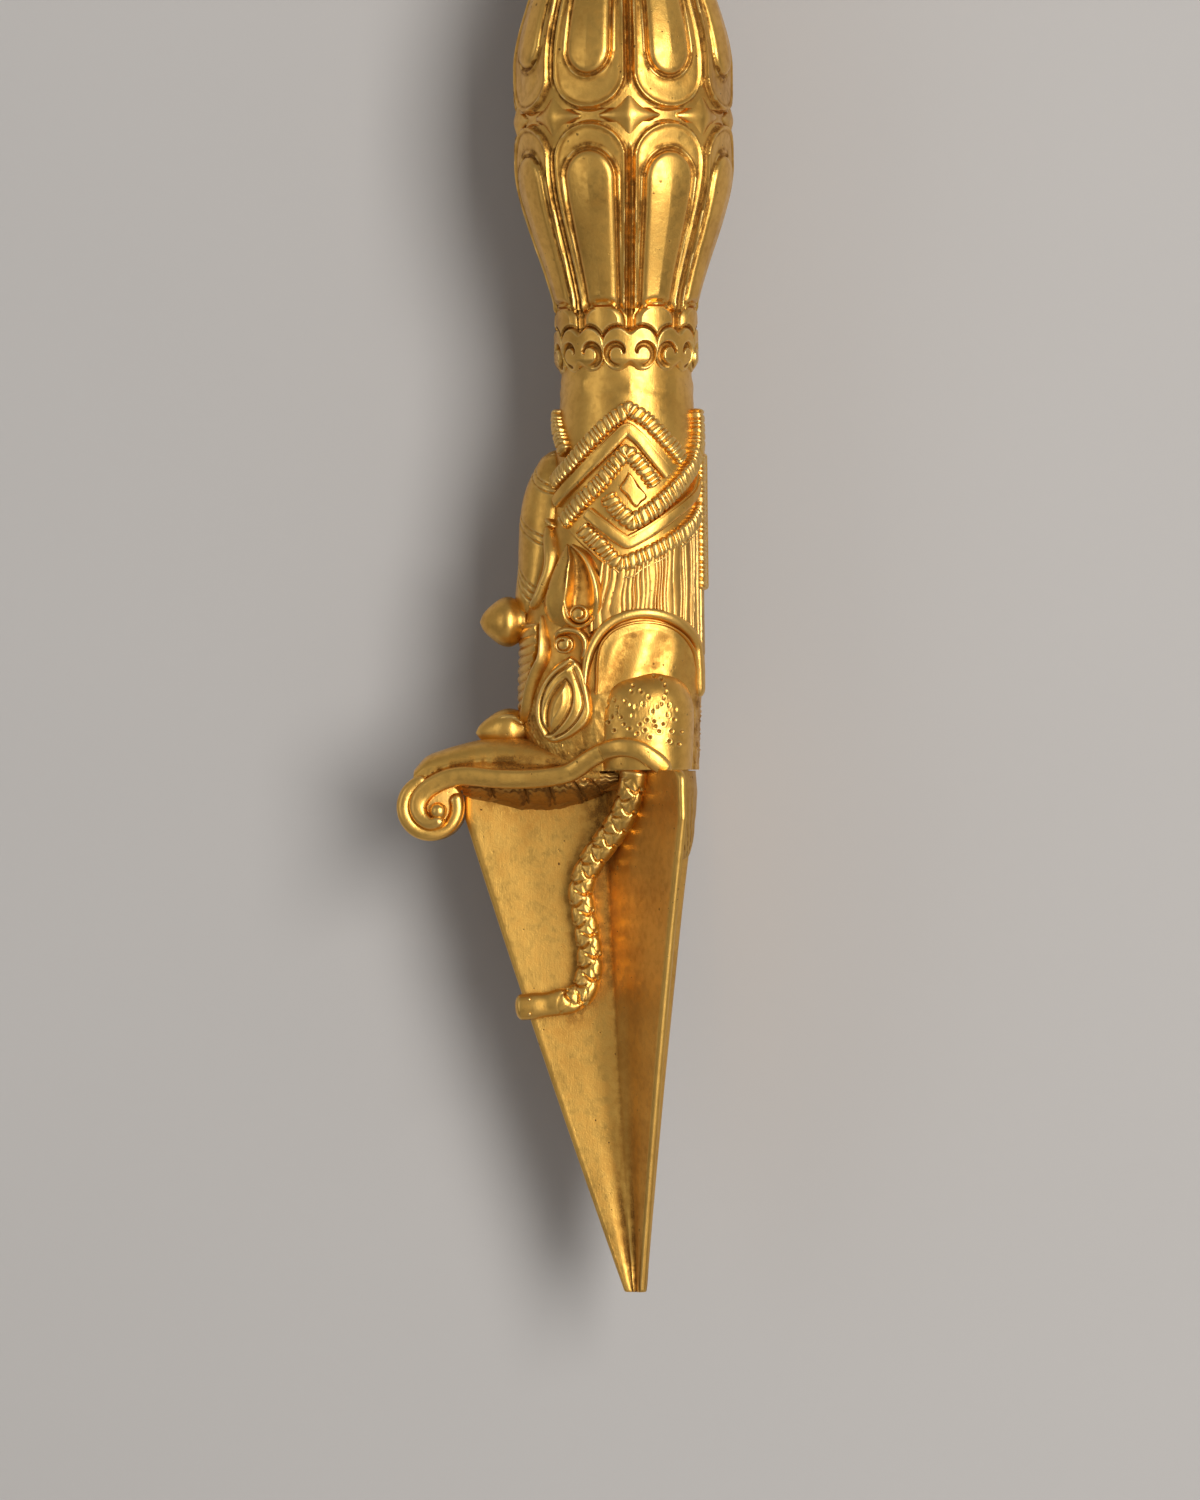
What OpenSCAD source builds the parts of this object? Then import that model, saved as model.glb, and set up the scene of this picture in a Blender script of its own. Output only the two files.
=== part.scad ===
// Phurba: a ritual dagger held tip down. A three-finned blade comes out of the mouth of a makara,
// whose long snout rolls up over one fin. Above the head are a neck, a cloud collar, the grip with
// its two rings of eight petals round a belt of lozenges, and a half vajra as the pommel.
// The origin is on the hilt's axis at the middle of the grip, +Z points up and -X is the snout's side.

/* [Grip] */
// Diameter over the petal rims at the middle of the grip
grip_d = 30.8; // [26:0.2:36]
// Length of one ring of petals, from the middle of the grip to its collar
petal_len = 27.2; // [24:0.2:34]
// Diameter over the petal rims where they end at the collar
waist_d = 20.4; // [18:0.2:23]
// How far the petal rims stand above the sunk field
petal_relief = 1.2; // [0.7:0.1:1.8]
// Width of the raised rim round each petal
rim_w = 1.25; // [0.8:0.05:1.8]
// Width of the groove between two petals
groove_w = 0.5; // [0.3:0.05:0.9]
// Width of the rounded finger inside each petal
finger_w = 7.0; // [4.8:0.1:7.6]
// Height of the plain belt between the two rings of petals
belt_h = 2.0; // [1.4:0.1:3]
// How far the belt sits below the grip's middle
belt_drop = 0.6; // [0:0.1:1.2]
// Thickness of the belt's band over the sunk field
belt_t = 0.3; // [0.2:0.05:0.6]
// Width of a lozenge from point to point
lozenge_w = 9.4; // [8:0.1:10]
// How far a lozenge's crown stands over the sunk field
lozenge_relief = 1.5; // [0.8:0.1:2]

/* [Collars and neck] */
// Height of each cloud collar
collar_h = 9.0; // [7:0.2:12]
// How far the cloud scrolls stand above the collar's ground
cloud_rise = 1.0; // [0.6:0.05:1.3]
// Length of the neck between the collar and the head
neck_len = 3.2; // [2:0.2:8]
// Diameter of the neck where it meets the head
neck_d = 18.6; // [17:0.2:20]

/* [Makara head] */
// Height of the head from the neck down to the mouth
head_len = 52.0; // [48:0.5:58]
// How far the skull reaches to the back of the axis
skull_back = 9.6; // [9:0.1:10.6]
// How far the brow stands in front of the axis
skull_front = 15.0; // [13.5:0.1:16]
// Half of the skull's width at the eyes
skull_half = 9.8; // [9:0.1:11]
// Thickness of the upper jaw below the mouth's corner
jaw_drop = 2.6; // [1.8:0.1:4]
// How far the rolled snout reaches in front of the axis
snout_reach = 32.8; // [30:0.2:37]
// Diameter of the rolled end of the snout
scroll_d = 9.6; // [8:0.2:11]
// Half of the snout's width at the roll
snout_half = 4.6; // [3.6:0.1:5.6]
// Thickness of the lip band
lip_d = 2.6; // [1.8:0.1:3]
// Diameter of the cheek
cheek_d = 13.6; // [11:0.2:14]
// Thickness of the knotted cord
cord_d = 1.9; // [1.6:0.1:2.4]

/* [Blade] */
// Length of the blade below the mouth
blade_len = 73.0; // [60:1:90]
// Reach of each fin from the blade's axis, just below the mouth
fin_reach = 20.8; // [17:0.2:22]
// How much wider the fin's slope would be at the mouth than its upright shoulder
fin_flare = 1.9; // [0.6:0.1:3]
// Thickness of a fin at its edge
fin_t = 1.3; // [1:0.05:1.8]
// Radius of the blade's core at the mouth
core_r = 2.3; // [2:0.1:3]
// Width of the blunt tip over its fins
tip_w = 3.6; // [3:0.1:4.6]
// How far the blade's top sits toward the snout
blade_shift = 2.6; // [0:0.1:3]
// Thickness of the snakes
snake_d = 3.4; // [2.6:0.1:4]

/* [Tang] */
// Diameter of the blade's tang
tang_d = 5.0; // [4:0.1:6]
// Clearance round the tang
fit = 0.1; // [0.05:0.01:0.2]

/* [Pommel] */
// Height of the lotus base
lotus_h = 7.0; // [5:0.2:9]
// Diameter of the lotus base
lotus_d = 24.0; // [21:0.2:28]
// Height of the half vajra above its base
vajra_h = 31.0; // [26:0.5:38]
// Reach of the outer prongs from the axis
prong_reach = 11.0; // [9:0.2:13]
// Thickness of the prongs at their widest
prong_d = 4.4; // [3.6:0.1:5.2]

/* [Hidden] */
$fn = 64;

gold = [0.80, 0.62, 0.30];
old_gold = [0.66, 0.45, 0.18];
petals = 8;
turn = 5;                 // the petal boundaries stand a little off the head's own directions
sector = 360 / petals;
seat = 0.02;              // clearance between parts that are seated on one another
deep = head_len / 52;     // the ornaments keep their places down the head
wide = skull_half / 9.8;  // and across it when its size changes

// Heights along the axis
z_waist = -petal_len;
z_neck = z_waist - collar_h;
z_head = z_neck - neck_len;
z_mouth = z_head - head_len;
z_jaw = z_mouth - jaw_drop;
z_tip = z_mouth - blade_len;
z_top = -z_neck;
z_vajra = z_top + lotus_h;

// Radii of the grip
r_grip = grip_d / 2;
r_waist = waist_d / 2;
r_bore = tang_d / 2 + fit;

// Radius over the petal rims at height z, the same above and below the middle
function rim_r(z) =
    let (u = min(1, max(0, (abs(z) / petal_len - 0.26) / 0.7)))
    r_grip - (r_grip - r_waist) * (u * u * (3 - 2 * u) * 0.4 + pow(u, 1.4) * 0.6);

// One closed tube or bar through a list of rings that all have the same number of points
module loft(rings) {
    n = len(rings[0]);
    m = len(rings);
    polyhedron(points = [for (r = rings) each r], faces = concat(
        [[for (i = [0:n - 1]) i]],
        [for (k = [0:m - 2], i = [0:n - 1]) each [
            [k * n + i, (k + 1) * n + i, (k + 1) * n + (i + 1) % n],
            [k * n + i, (k + 1) * n + (i + 1) % n, k * n + (i + 1) % n]]],
        [[for (i = [n - 1:-1:0]) (m - 1) * n + i]]));
}

// The same rings joined as a row of convex links, which may bend and cross; a small plug behind each
// joint reaches into the link before it
function fill(v, n) = [for (i = [0:n - 1]) v];
function plug(a, b) = let (n = len(a), c = fill(1, n) * a / n, d = fill(1, n) * b / n - c)
    [for (q = a) c + (q - c) * 0.5 - d / norm(d) * 0.05];
module chain(rings) for (k = [0:len(rings) - 2]) hull()
    loft(concat(k == 0 ? [] : [plug(rings[k], rings[k + 1])], [rings[k], rings[k + 1]]));

function unit(v) = v / max(norm(v), 1e-6);
function tangent(p, k) = unit(p[min(k + 1, len(p) - 1)] - p[max(k - 1, 0)]);

// Smooth curve through the points p, with s steps between two of them
function smooth(p, s) = let (n = len(p) - 1) concat([for (k = [0:n - 1], j = [0:s - 1])
    let (t = j / s, a = p[max(k - 1, 0)], b = p[k], c = p[k + 1], d = p[min(k + 2, n)])
    b + t * (c - a) / 2 + t * t * (a - 2.5 * b + 2 * c - 0.5 * d) + t * t * t * (-a + 3 * b - 3 * c + d) / 2],
    [p[n]]);

// Straight legs between the points p = [angle, height], cut so that no step turns by more than wide degrees
function bends(p, wide) = concat([for (k = [0:len(p) - 2])
    let (d = p[k + 1] - p[k], s = max(1, ceil(abs(d[0]) / wide))) for (j = [0:s - 1]) p[k] + d * j / s],
    [p[len(p) - 1]]);

// Rings along points p with outward directions nv, half widths w and half heights h
function band(p, nv, w, h, sides = 8) = [for (k = [0:len(p) - 1])
    let (t = tangent(p, k), b = unit(cross(t, nv[k])), n = cross(b, t))
    [for (i = [0:sides - 1]) let (a = 360 * (i + 0.5) / sides)
        p[k] + b * w[k] * cos(a) + n * h[k] * sin(a)]];

// Half widths that swell from v0 to v1 in the middle and back
function swell(v0, v1, n) = [for (i = [0:n - 1]) v0 + (v1 - v0) * sin(180 * i / (n - 1))];

// Section of one petal, down below the belt at radius r, as [angle, radius] from groove to groove
function arch_open(d) = let (h = r_grip * sin(sector / 2)) d < -0.01 ? 0 : d < 0.02 ? 0.3 : d >= h ? 1 :
    sqrt(1 - pow(1 - d / h, 2));
function petal_section(down, r) = let (
    arch = sector / 2 - groove_w / 2 / r * 57.3,
    outer = arch * arch_open(down),
    inset = rim_w / r * 57.3,
    sunk = down > rim_w ? 1 : 0.1,
    inner = min(max(3, arch * arch_open(down - rim_w) - 0.9 * inset), outer * 0.8),
    bead_h = max(0, min(1, arch_open(1.6 * (down - rim_w - 1.6)))) + 0.05,
    bead = min(inner * 0.8, max(2, bead_h * finger_w / 2 / r * 57.3 * (0.72 + 0.28 * r / r_grip))),
    low = r - petal_relief, field = r - petal_relief * sunk, crown = field + bead_h * (petal_relief + 0.55))
    [[-outer - 0.4, low], [-outer, r - 0.1], [-inner - inset * 0.1, r], [-inner, field], [-bead, field],
     [-bead * 0.5, crown], [bead * 0.5, crown], [bead, field], [inner, field], [inner + inset * 0.1, r],
     [outer, r - 0.1], [outer + 0.4, low]];

// Half of the grip: eight petals round one solid, from the belt down to the collar; both ends close
// towards the bore with a small ring
module petal_ring(drop) {
    foot = petal_len - belt_h / 2 - drop;
    difference() {
        loft([for (down = [foot + 1, foot, 17.5, 11, 6, 3.2, 1.2, 0, -1])
            let (in = down > foot || down < 0, z = -belt_h / 2 - drop - max(0, min(foot, down)))
            [for (i = [0:petals - 1], q = petal_section(max(0, min(foot, down)), rim_r(z)))
                let (a = turn + sector * (i + 0.5) + q[0], r = in ? r_bore / 2 : q[1])
                [r * cos(a), r * sin(a), z]]]);
        cylinder(r = r_bore, h = 3 * petal_len, center = true);
    }
}

module lower_petals() color(gold) petal_ring(belt_drop);

module upper_petals() color(gold) mirror([0, 0, 1]) petal_ring(-belt_drop);

// Four-pointed cushion with hollow sides, left between four petal arches
function lozenge_ring(a, k, rise) = [for (t = [0:45:315]) let (
    reach = lozenge_w / 2 * k * (1 - 0.38 * abs(sin(2 * t))),
    u = reach * cos(t), v = reach * sin(t) - belt_drop,
    r = rim_r(v) - petal_relief + rise, b = a + u / r * 57.3) [r * cos(b), r * sin(b), v]];

module lozenge_belt() color(gold) difference() {
    union() {
        rotate([0, 0, turn]) translate([0, 0, -belt_drop])
            cylinder(r = r_grip - petal_relief + belt_t, h = belt_h - 2 * seat, center = true, $fn = 32);
        for (i = [0:petals - 1]) let (a = turn + sector * i)
            loft([lozenge_ring(a, 1, seat), lozenge_ring(a, 0.84, 0.75), lozenge_ring(a, 0.26,
                lozenge_relief)]);
    }
    cylinder(r = r_bore, h = 3 * belt_h, center = true, $fn = 24);
}

// Outlines on the collar as [across, down]: fan leaf and cloud lobe
leaf_pts = [[-1.7, 0.06], [-2.4, 2.2], [-0.4, 4.6], [0.4, 4.6], [2.4, 2.2], [1.7, 0.06]];
cloud_pts = [[0.14, 4.1], [1.5, 2.8], [3.3, 3.5], [3.8, 5.8], [2.6, 8.4], [0.14, 7.6]];

// A cushion on the collar: an outline at angle a, turned to side s, from below the ground up to rise
module cushion(a, s, pts, low, rise) {
    r = r_waist - petal_relief;
    m = [for (i = [0, 1]) max([for (q = pts) q[i]]) / 2 + min([for (q = pts) q[i]]) / 2];
    k = [r * 3.14159 / petals / 4, collar_h / 9];
    hull() loft([for (h = [[low, 1], [rise, 0.8]]) [for (q = pts)
        let (u = m + (q - m) * h[1], b = a + s * u[0] * k[0] / r * 57.3)
        [(r + h[0]) * cos(b), (r + h[0]) * sin(b), z_waist - seat - u[1] * k[1]]]]);
}

module collar() {
    difference() {
        rotate([0, 0, turn]) translate([0, 0, z_neck])
            cylinder(r1 = neck_d / 2 + 0.3, r2 = r_waist - petal_relief, h = collar_h - seat, $fn = 16);
        translate([0, 0, z_neck - 1]) cylinder(r = r_bore, h = collar_h + 2, $fn = 16);
    }
    for (i = [0:petals - 1]) cushion(turn + sector * (i + 0.5), 1, leaf_pts, -0.6, cloud_rise);
    for (i = [0:petals - 1], s = [-1, 1]) cushion(turn + sector * i, s, cloud_pts, -0.5, cloud_rise + 0.2);
}

module lower_collar() color(gold) collar();

module upper_collar() color(gold) mirror([0, 0, 1]) collar();

module neck() color(gold) difference() {
    rotate([0, 0, turn + sector / 2]) translate([0, 0, z_head])
        cylinder(r1 = neck_d / 2, r2 = neck_d / 2 + 0.3, h = neck_len, $fn = 8);
    translate([0, 0, z_head - 1]) cylinder(r = r_bore, h = neck_len + 2);
}

// Reach of the skull to the front, to the back and to the side at height z
function down_head(z) = (z_head - z) / head_len;
function front_at(z) = lookup(down_head(z), [[0, neck_d / 2], [0.12, neck_d / 2 + 0.6], [0.3, 11],
    [0.45, 12.4], [0.58, skull_front - 0.6], [0.72, skull_front], [0.86, skull_front], [1, skull_front - 1.4]]);
function back_at(z) = lookup(down_head(z), [[0, neck_d / 2], [0.12, skull_back], [0.7, skull_back],
    [1, skull_back - 0.6]]);
function half_at(z) = lookup(down_head(z), [[0, neck_d / 2], [0.12, skull_half - 0.2],
    [0.45, skull_half - 0.1], [0.58, skull_half], [0.86, skull_half - 0.2], [1, skull_half - 1.2]]);
function power_at(z) = lookup(down_head(z), [[0, 2], [0.3, 2.1], [0.58, 2.5], [1, 2.5]]);

// Point of the skull at height z; angle 0 faces the left side, -90 the front and 90 the back
function skull_at(f, z, out = 0) = let (a = (front_at(z) + back_at(z)) / 2 + out,
    c = (back_at(z) - front_at(z)) / 2,
    k = 2 / power_at(z)) [c + a * sign(sin(f)) * pow(abs(sin(f)), k),
    -sign(cos(f)) * (half_at(z) + out) * pow(abs(cos(f)), k), z];
// The angle at which the skull's side has the given x
function angle_at(x, z) = let (a = (front_at(z) + back_at(z)) / 2, c = (back_at(z) - front_at(z)) / 2,
    u = max(-0.999, min(0.999, (x - c) / a))) asin(sign(u) * pow(abs(u), power_at(z) / 2));
function skull_out(f, z) = unit(cross(skull_at(f + 2, z) - skull_at(f - 2, z),
    skull_at(f, z + 0.3) - skull_at(f, z - 0.3)));

// Points on the left side from [x, height below the head's top], sunk by -lift
function on_side(p, lift) = [for (q = p) let (z = z_head - q[1] * deep, f = angle_at(q[0] * wide, z))
    skull_at(f, z) + skull_out(f, z) * lift];
function out_side(p) = [for (q = p) let (z = z_head - q[1] * deep) skull_out(angle_at(q[0] * wide, z), z)];
// The same from [angle, height below the head's top]
function on_drum(p, lift) = [for (q = p) let (z = z_head - q[1] * deep)
    skull_at(q[0], z) + skull_out(q[0], z) * lift];
function out_drum(p) = [for (q = p) skull_out(q[0], z_head - q[1] * deep)];

module skull_solid(sides = 24) loft([for (d = [1, 0.86, 0.72, 0.58, 0.45, 0.3, 0.12, 0])
    [for (i = [0:sides - 1]) skull_at(360 * (i + 0.5) / sides, z_head - d * head_len)]]);

module skull() color(gold) difference() {
    skull_solid();
    translate([0, 0, z_mouth - 1]) cylinder(r = r_bore, h = head_len + 2);
}

// Half width of the snout at x
function snout_at(x) = lookup(x, [[-snout_reach, snout_half - 0.4], [-snout_reach + scroll_d / 2, snout_half],
    [-18.5, snout_half + 1.2], [-12, skull_half - 2.2], [-7, skull_half - 1.4]]);
scroll_x = scroll_d / 2 - snout_reach;
scroll_z = z_jaw - scroll_d / 2 + 2.6;

// Body of the upper jaw: rounded slices from the face to the roll
module snout_solid() {
    tops = [[-6, 5.6], [-10, 6.4], [-14, 7.2], [-17, 7.3], [-20.5, 7.2], [-23.5, 6.6], [-26, 5.9],
        [-28.6, 4.9], [-30.8, 3]];
    chain([for (q = tops) let (h = snout_at(q[0]) - 0.2) [for (i = [0:9]) let (t = 36 * (i + 0.5),
        y = h * sign(cos(t)) * pow(abs(cos(t)), 0.7), z = sign(sin(t)) * pow(abs(sin(t)), 0.7))
        [q[0], y, z_jaw + q[1] / 2 * (1 + z)]]]);
    translate([scroll_x, 0, scroll_z]) rotate([90, 0, 0])
        cylinder(r = scroll_d / 2, h = 2 * snout_half - 0.8, center = true, $fn = 20);
}

module snout() color(gold) difference() {
    snout_solid();
    skull_solid();
    blade_fins();
}

lip_turns = [for (t = [0:40:320]) let (r = (scroll_d - lip_d) / 2 * (1 - 0.16 * max(0, t - 180) / 180))
    [scroll_x - r * sin(t), scroll_z + r * cos(t)]];
lip_pts = concat([for (q = [[5.4, 0.7], [3.6, 1.9], [1.3, 2.9], [-1, 3.2], [-3.2, 2.8], [-5.4, 1.8],
    [-7.6, 0.6],
    [-10.6, -0.4], [-14.5, -0.9], [-18.5, -0.9], [-23, -0.6]]) [q[0], z_mouth + q[1]]],
    lip_turns, [[scroll_x + 0.6, scroll_z + scroll_d * 0.16]]);
cheek_x = 2.4;
cheek_y = skull_half - cheek_d / 2 + 2.3;
function lip_side(x) = lookup(x, concat([for (u = [-30, -24, -18, -14, -10.6, -8]) [u, snout_at(u)]],
    [[-5, skull_half - 0.4]], [for (u = [-3.4:1:6]) [u, cheek_y + sqrt(max(0,
        cheek_d * cheek_d / 4 - pow(u - cheek_x, 2)))]]));

// The smooth band along the mouth's edge, which ends as the spiral on the snout's roll
module lip_solid() {
    n = len(lip_pts);
    p = [for (q = lip_pts) [q[0], -lip_side(q[0]) + 0.15, q[1]]];
    w = [for (k = [0:n - 1]) lip_d / 2 * (k == 0 ? 0.6 : k == n - 1 ? 0.6 : k > 18 ? 0.8 : 1)];
    chain(band(p, fill([0, -1, 0], n), w, w * 1.05, 6));
    translate([scroll_x + 0.5, -snout_half + 0.6, scroll_z]) rotate([90, 0, 0])
        cylinder(r1 = lip_d * 0.62, r2 = lip_d * 0.4, h = lip_d * 0.55, $fn = 10);
}

// A left-hand solid as it is for s = 1, or turned over to the right for s = -1
module sided(s) scale([1, s, 1]) children();

module lip(s) difference() {
    sided(s) lip_solid();
    skull_solid();
    snout_solid();
    sided(s) cheek_solid(-1);
    blade_fins();
}

module lip_left() color(gold) lip(1);

module lip_right() color(gold) lip(-1);

// Palate with the teeth: a wedge from the lip down to the fin's face
module gum_solid() {
    foot = [[-23.2, 0.5], [-21.5, 1.7], [-19.5, 2.4], [-16.5, 2.8], [-13, 2.9], [-10, 2.8], [-7, 2.4],
        [-5, 1.6],
        [-3.2, 0.6]];
    chain([for (q = foot) let (top = z_mouth + 0.4, h = snout_at(min(-8, q[0])) - lip_d * 0.45)
        [[q[0], -0.1, top], [q[0], -h, top], [q[0], -h * 0.9, z_jaw - 0.3], [q[0], -fin_t, z_jaw - q[1]],
         [q[0], -0.1, z_jaw - q[1]]]]);
}

module gum(s) difference() {
    sided(s) gum_solid();
    skull_solid();
    snout_solid();
    blade_fins();
    sided(s) lip_solid();
    sided(s) cheek_solid();
    sided(s) snake_solid();
}

module gum_left() color(old_gold) gum(1);

module gum_right() color(old_gold) gum(-1);

// Bud with a pointed tip that stands forward from the face
module bud(r, len, fine = 48) rotate([0, -90, 0]) rotate_extrude($fn = fine)
    polygon([[0, 0], [r * 0.72, 0], [r * 0.8, len * 0.14], [r, len * 0.36], [r * 0.93, len * 0.56],
        [r * 0.66, len * 0.76],
        [r * 0.34, len * 0.92], [0, len]]);

bud_z = z_head - 31 * deep;
module forehead_bud() color(gold) translate([-front_at(bud_z - 2) - seat, 0, bud_z]) bud(3.6, 6.4);

module nose_bud() color(gold) difference() {
    translate([1 - skull_front, 0, z_mouth + 6.2]) rotate([0, -24, 0]) bud(2.9, 7.6, 20);
    skull_solid();
    snout_solid();
}

// Lock of hair down the middle of the forehead, on a plate with a ridge along each edge. Each row holds
// the depth, half width and height of the lock and the x and height of the ridges
lock_rows = [[31, 1.8, 1.4, -13.2, 0.5], [28.4, 2.6, 2.4, -12.5, 0.8], [25, 3.2, 3.2, -11.7, 1],
    [21, 3.6, 3.9, -10.7, 1.1], [17, 3.7, 4.3, -9.5, 1.2], [13, 3.4, 4, -9.9, 1.2], [9.5, 2.6, 2.8, -9.4, 1],
    [7, 1.4, 1.6, -9.2, 0.6]];
module forelock_solid() {
    chain([for (q = lock_rows) let (z = z_head - q[0] * deep, x = -front_at(z) + 0.8)
        [for (c = [[0, -1], [0.45, -0.95], [0.85, -0.6], [1, 0], [0.85, 0.6], [0.45, 0.95], [0, 1]])
            [x - (q[2] + 0.5) * c[0], q[1] * wide * c[1], z]]]);
    chain([for (q = lock_rows) let (z = z_head - q[0] * deep, e = [[q[3], q[0]]], low = on_side(e, -0.8)[0],
        top = on_side(e, q[4])[0]) [for (c = [[low[0], low[1]], [top[0], top[1]], [-front_at(z) - 0.5, -2],
            [-front_at(z) - 0.5, 2], [top[0], -top[1]], [low[0], -low[1]]]) [c[0], c[1], z]]]);
}

module forelock() color(gold) difference() {
    forelock_solid();
    skull_solid();
    translate([-front_at(bud_z - 2) - seat, 0, bud_z]) bud(3.7, 6.4, 20);
}

// A leaf or ridge on the left side through [x, depth] points
module side_ridge(p, w, h, steps = 2, sides = 5) {
    q = smooth(p, steps);
    n = len(q);
    chain(band(on_side(q, 0), out_side(q), wide * swell(w * 0.3, w, n), wide * swell(h * 0.5, h, n), sides));
}

module brow(s) difference() {
    sided(s) side_ridge([[-12.2, 29.6], [-12.3, 33.4], [-12.9, 38], [-13.8, 42], [-14.4, 45.4]], 1.6, 1.5,
        2, 6);
    skull_solid();
    snout_solid();
}

module brow_left() color(gold) brow(1);

module brow_right() color(gold) brow(-1);

// Lid that hangs like a drop, with the almond of the eye inside and a curl above
module eye_solid() {
    rim = [[-9.0, 36], [-11, 38.6], [-12.1, 41.8], [-11.6, 45.4], [-9.6, 47.6], [-7.2, 46], [-5.9, 42.8],
        [-6.3, 39.2], [-8.2, 36.4]];
    chain(band(on_side(rim, 0), out_side(rim), fill(0.75, 9), fill(1.1, 9), 5));
    ball = [[-9.2, 38.8], [-9.2, 41.4], [-9.2, 44.2], [-9.4, 46.6]];
    chain(band(on_side(ball, -0.2), out_side(ball), [0.5, 1.9, 1.8, 0.4], [0.6, 1.5, 1.5, 0.5], 6));
    curl = [[-10.6, 34], [-9.3, 32.6], [-7.5, 32.5], [-6.3, 34], [-6.9, 36], [-8.4, 36.2]];
    chain(band(on_side(curl, 0), out_side(curl), fill(0.7, 6), fill(1, 6), 5));
}

module eye(s) difference() {
    sided(s) eye_solid();
    skull_solid();
    snout_solid();
    sided(s) lip_solid();
}

module eye_left() color(gold) eye(1);

module eye_right() color(gold) eye(-1);

// Two-lobed ear
module ear_solid() {
    side_ridge([[-9, 19.4], [-9.6, 22.6], [-9.6, 26], [-8.8, 29], [-6.9, 31]], 2.1, 1.7, 1);
    side_ridge([[-8.2, 20.4], [-6, 22.8], [-4.6, 25.8], [-4.4, 28.4], [-6, 30.4]], 1.7, 1.5, 1);
    side_ridge([[-8.4, 20.6], [-7.4, 25.6], [-7.2, 30]], 2, 0.9, 1);
}

module ear(s) difference() {
    sided(s) ear_solid();
    skull_solid();
    sided(s) knot_solid();
    sided(s) eye_solid();
    sided(s) arch_solid();
    forelock_solid();
}

module ear_left() color(gold) ear(1);

module ear_right() color(gold) ear(-1);

// Full cheek: a dome that runs down to the mouth
module cheek_solid(low = seat) translate([cheek_x, -cheek_y, 0]) {
    h = 15 * deep - cheek_d / 2;
    chain([for (q = concat([[z_mouth + low, 0.9], [z_mouth + h * 0.5, 0.97], [z_mouth + h, 1]],
        [for (t = [15, 30, 45, 60, 74, 86]) [z_mouth + h + cheek_d / 2 * sin(t), cos(t)]]))
        [for (i = [0:15]) let (t = 22.5 * i) [cheek_d / 2 * q[1] * cos(t), cheek_d / 2 * q[1] * sin(t),
            q[0]]]]);
}

module cheek(s) difference() {
    sided(s) cheek_solid();
    skull_solid();
}

module cheek_left() color(gold) cheek(1);

module cheek_right() color(gold) cheek(-1);

// Raised arch over the cheek
module arch_solid() {
    p = smooth([[-4.6, 41.4], [-5.6, 37.4], [-4.7, 33], [-1.6, 30.2], [2.2, 29.5], [5.6, 30.6], [8.1, 33.6],
        [9.0, 38], [9.0, 42]], 1);
    n = len(p);
    chain(band(on_side(p, 0), out_side(p), fill(1, n), fill(1.1, n), 5));
}

module arch(s) difference() {
    sided(s) arch_solid();
    skull_solid();
    sided(s) cheek_solid();
    sided(s) eye_solid();
}

module arch_left() color(gold) arch(1);

module arch_right() color(gold) arch(-1);

// Combed hair: one skin of upright locks round the back of the head, from the knots down to the arches
function mane_row(f, lift) = let (g = f > 90 ? 180 - f : f,
    top = lookup(g, [[-20, 20], [-5, 22], [27, 19.6], [52, 16.8], [76, 14.6], [90, 14]]),
    low = lookup(g, [[-20, 31.4], [0, 29.4], [20, 29], [45, 31.4], [70, 35], [90, 37]]))
    concat(on_drum([[f, low], [f, top]], -0.8), on_drum([[f, top], [f, low]], lift));
module mane() color(old_gold) difference() {
    chain([for (k = [0:18]) mane_row(-20 + 220 * k / 18, k % 2 == 0 ? 0.8 : 1.4)]);
    skull_solid();
    for (s = [-1, 1]) sided(s) {
        knot_solid();
        arch_solid();
        ear_solid();
    }
    back_cord_solid();
}

// The endless knot: two sets of three cords that bend round one another, given as [angle, depth]
cord_sets = [
    [[-63, 11], [0, 1.3], [38, 8.2]], [[-57, 13.4], [-1, 3.6], [27, 9.8]], [[-49, 17], [0, 7.4], [17, 12]],
    [[-14, 13.4], [3, 16.8], [33, 12.2], [53, 9], [69, 3.4]],
        [[-27, 15.4], [0, 19.4], [33, 16.4], [62, 12.6], [82, 9.2]],
    [[-37, 17.6], [-7, 23.2], [27, 19.8], [52, 17], [78, 14.6]],
    [[-77, 1.9], [-51, 8]]];

module knot_solid() {
    for (c = cord_sets) {
        q = bends(c, 30);
        n = len(q);
        chain(band(on_drum(q, cord_d * 0.16), out_drum(q), fill(cord_d * 0.6, n), fill(cord_d * 0.6, n), 4));
    }
    boss = [[-9, 12], [0.5, 12.1], [10, 12.2]];
    chain(band(on_drum(boss, 0), out_drum(boss), [0.4, 2.2, 0.4], [0.5, 0.9, 0.5], 6));
    // the ground between the cords: [angle, depth of its upper edge, depth of its lower edge]
    chain([for (q = [[-58, 10.4, 15.6], [-40, 7.6, 17.2], [-20, 4.6, 20.6], [0, 1.8, 22.2], [20, 5.2,
        20.4], [40, 9.6, 18.2],
        [60, 6.6, 16.2], [78, 5, 14.4]]) concat(on_drum([[q[0], q[2]], [q[0], q[1]]], -0.8),
        on_drum([[q[0], q[1]], [q[0], q[2]]], 0.4))]);
}

module knot(s) difference() {
    sided(s) knot_solid();
    skull_solid();
    forelock_solid();
    translate([0, 0, z_head]) cylinder(r = neck_d / 2 + 0.34, h = 3, $fn = 48);
}

module knot_left() color(gold) knot(1);

module knot_right() color(gold) difference() {
    knot(-1);
    knot_solid();
}

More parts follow.
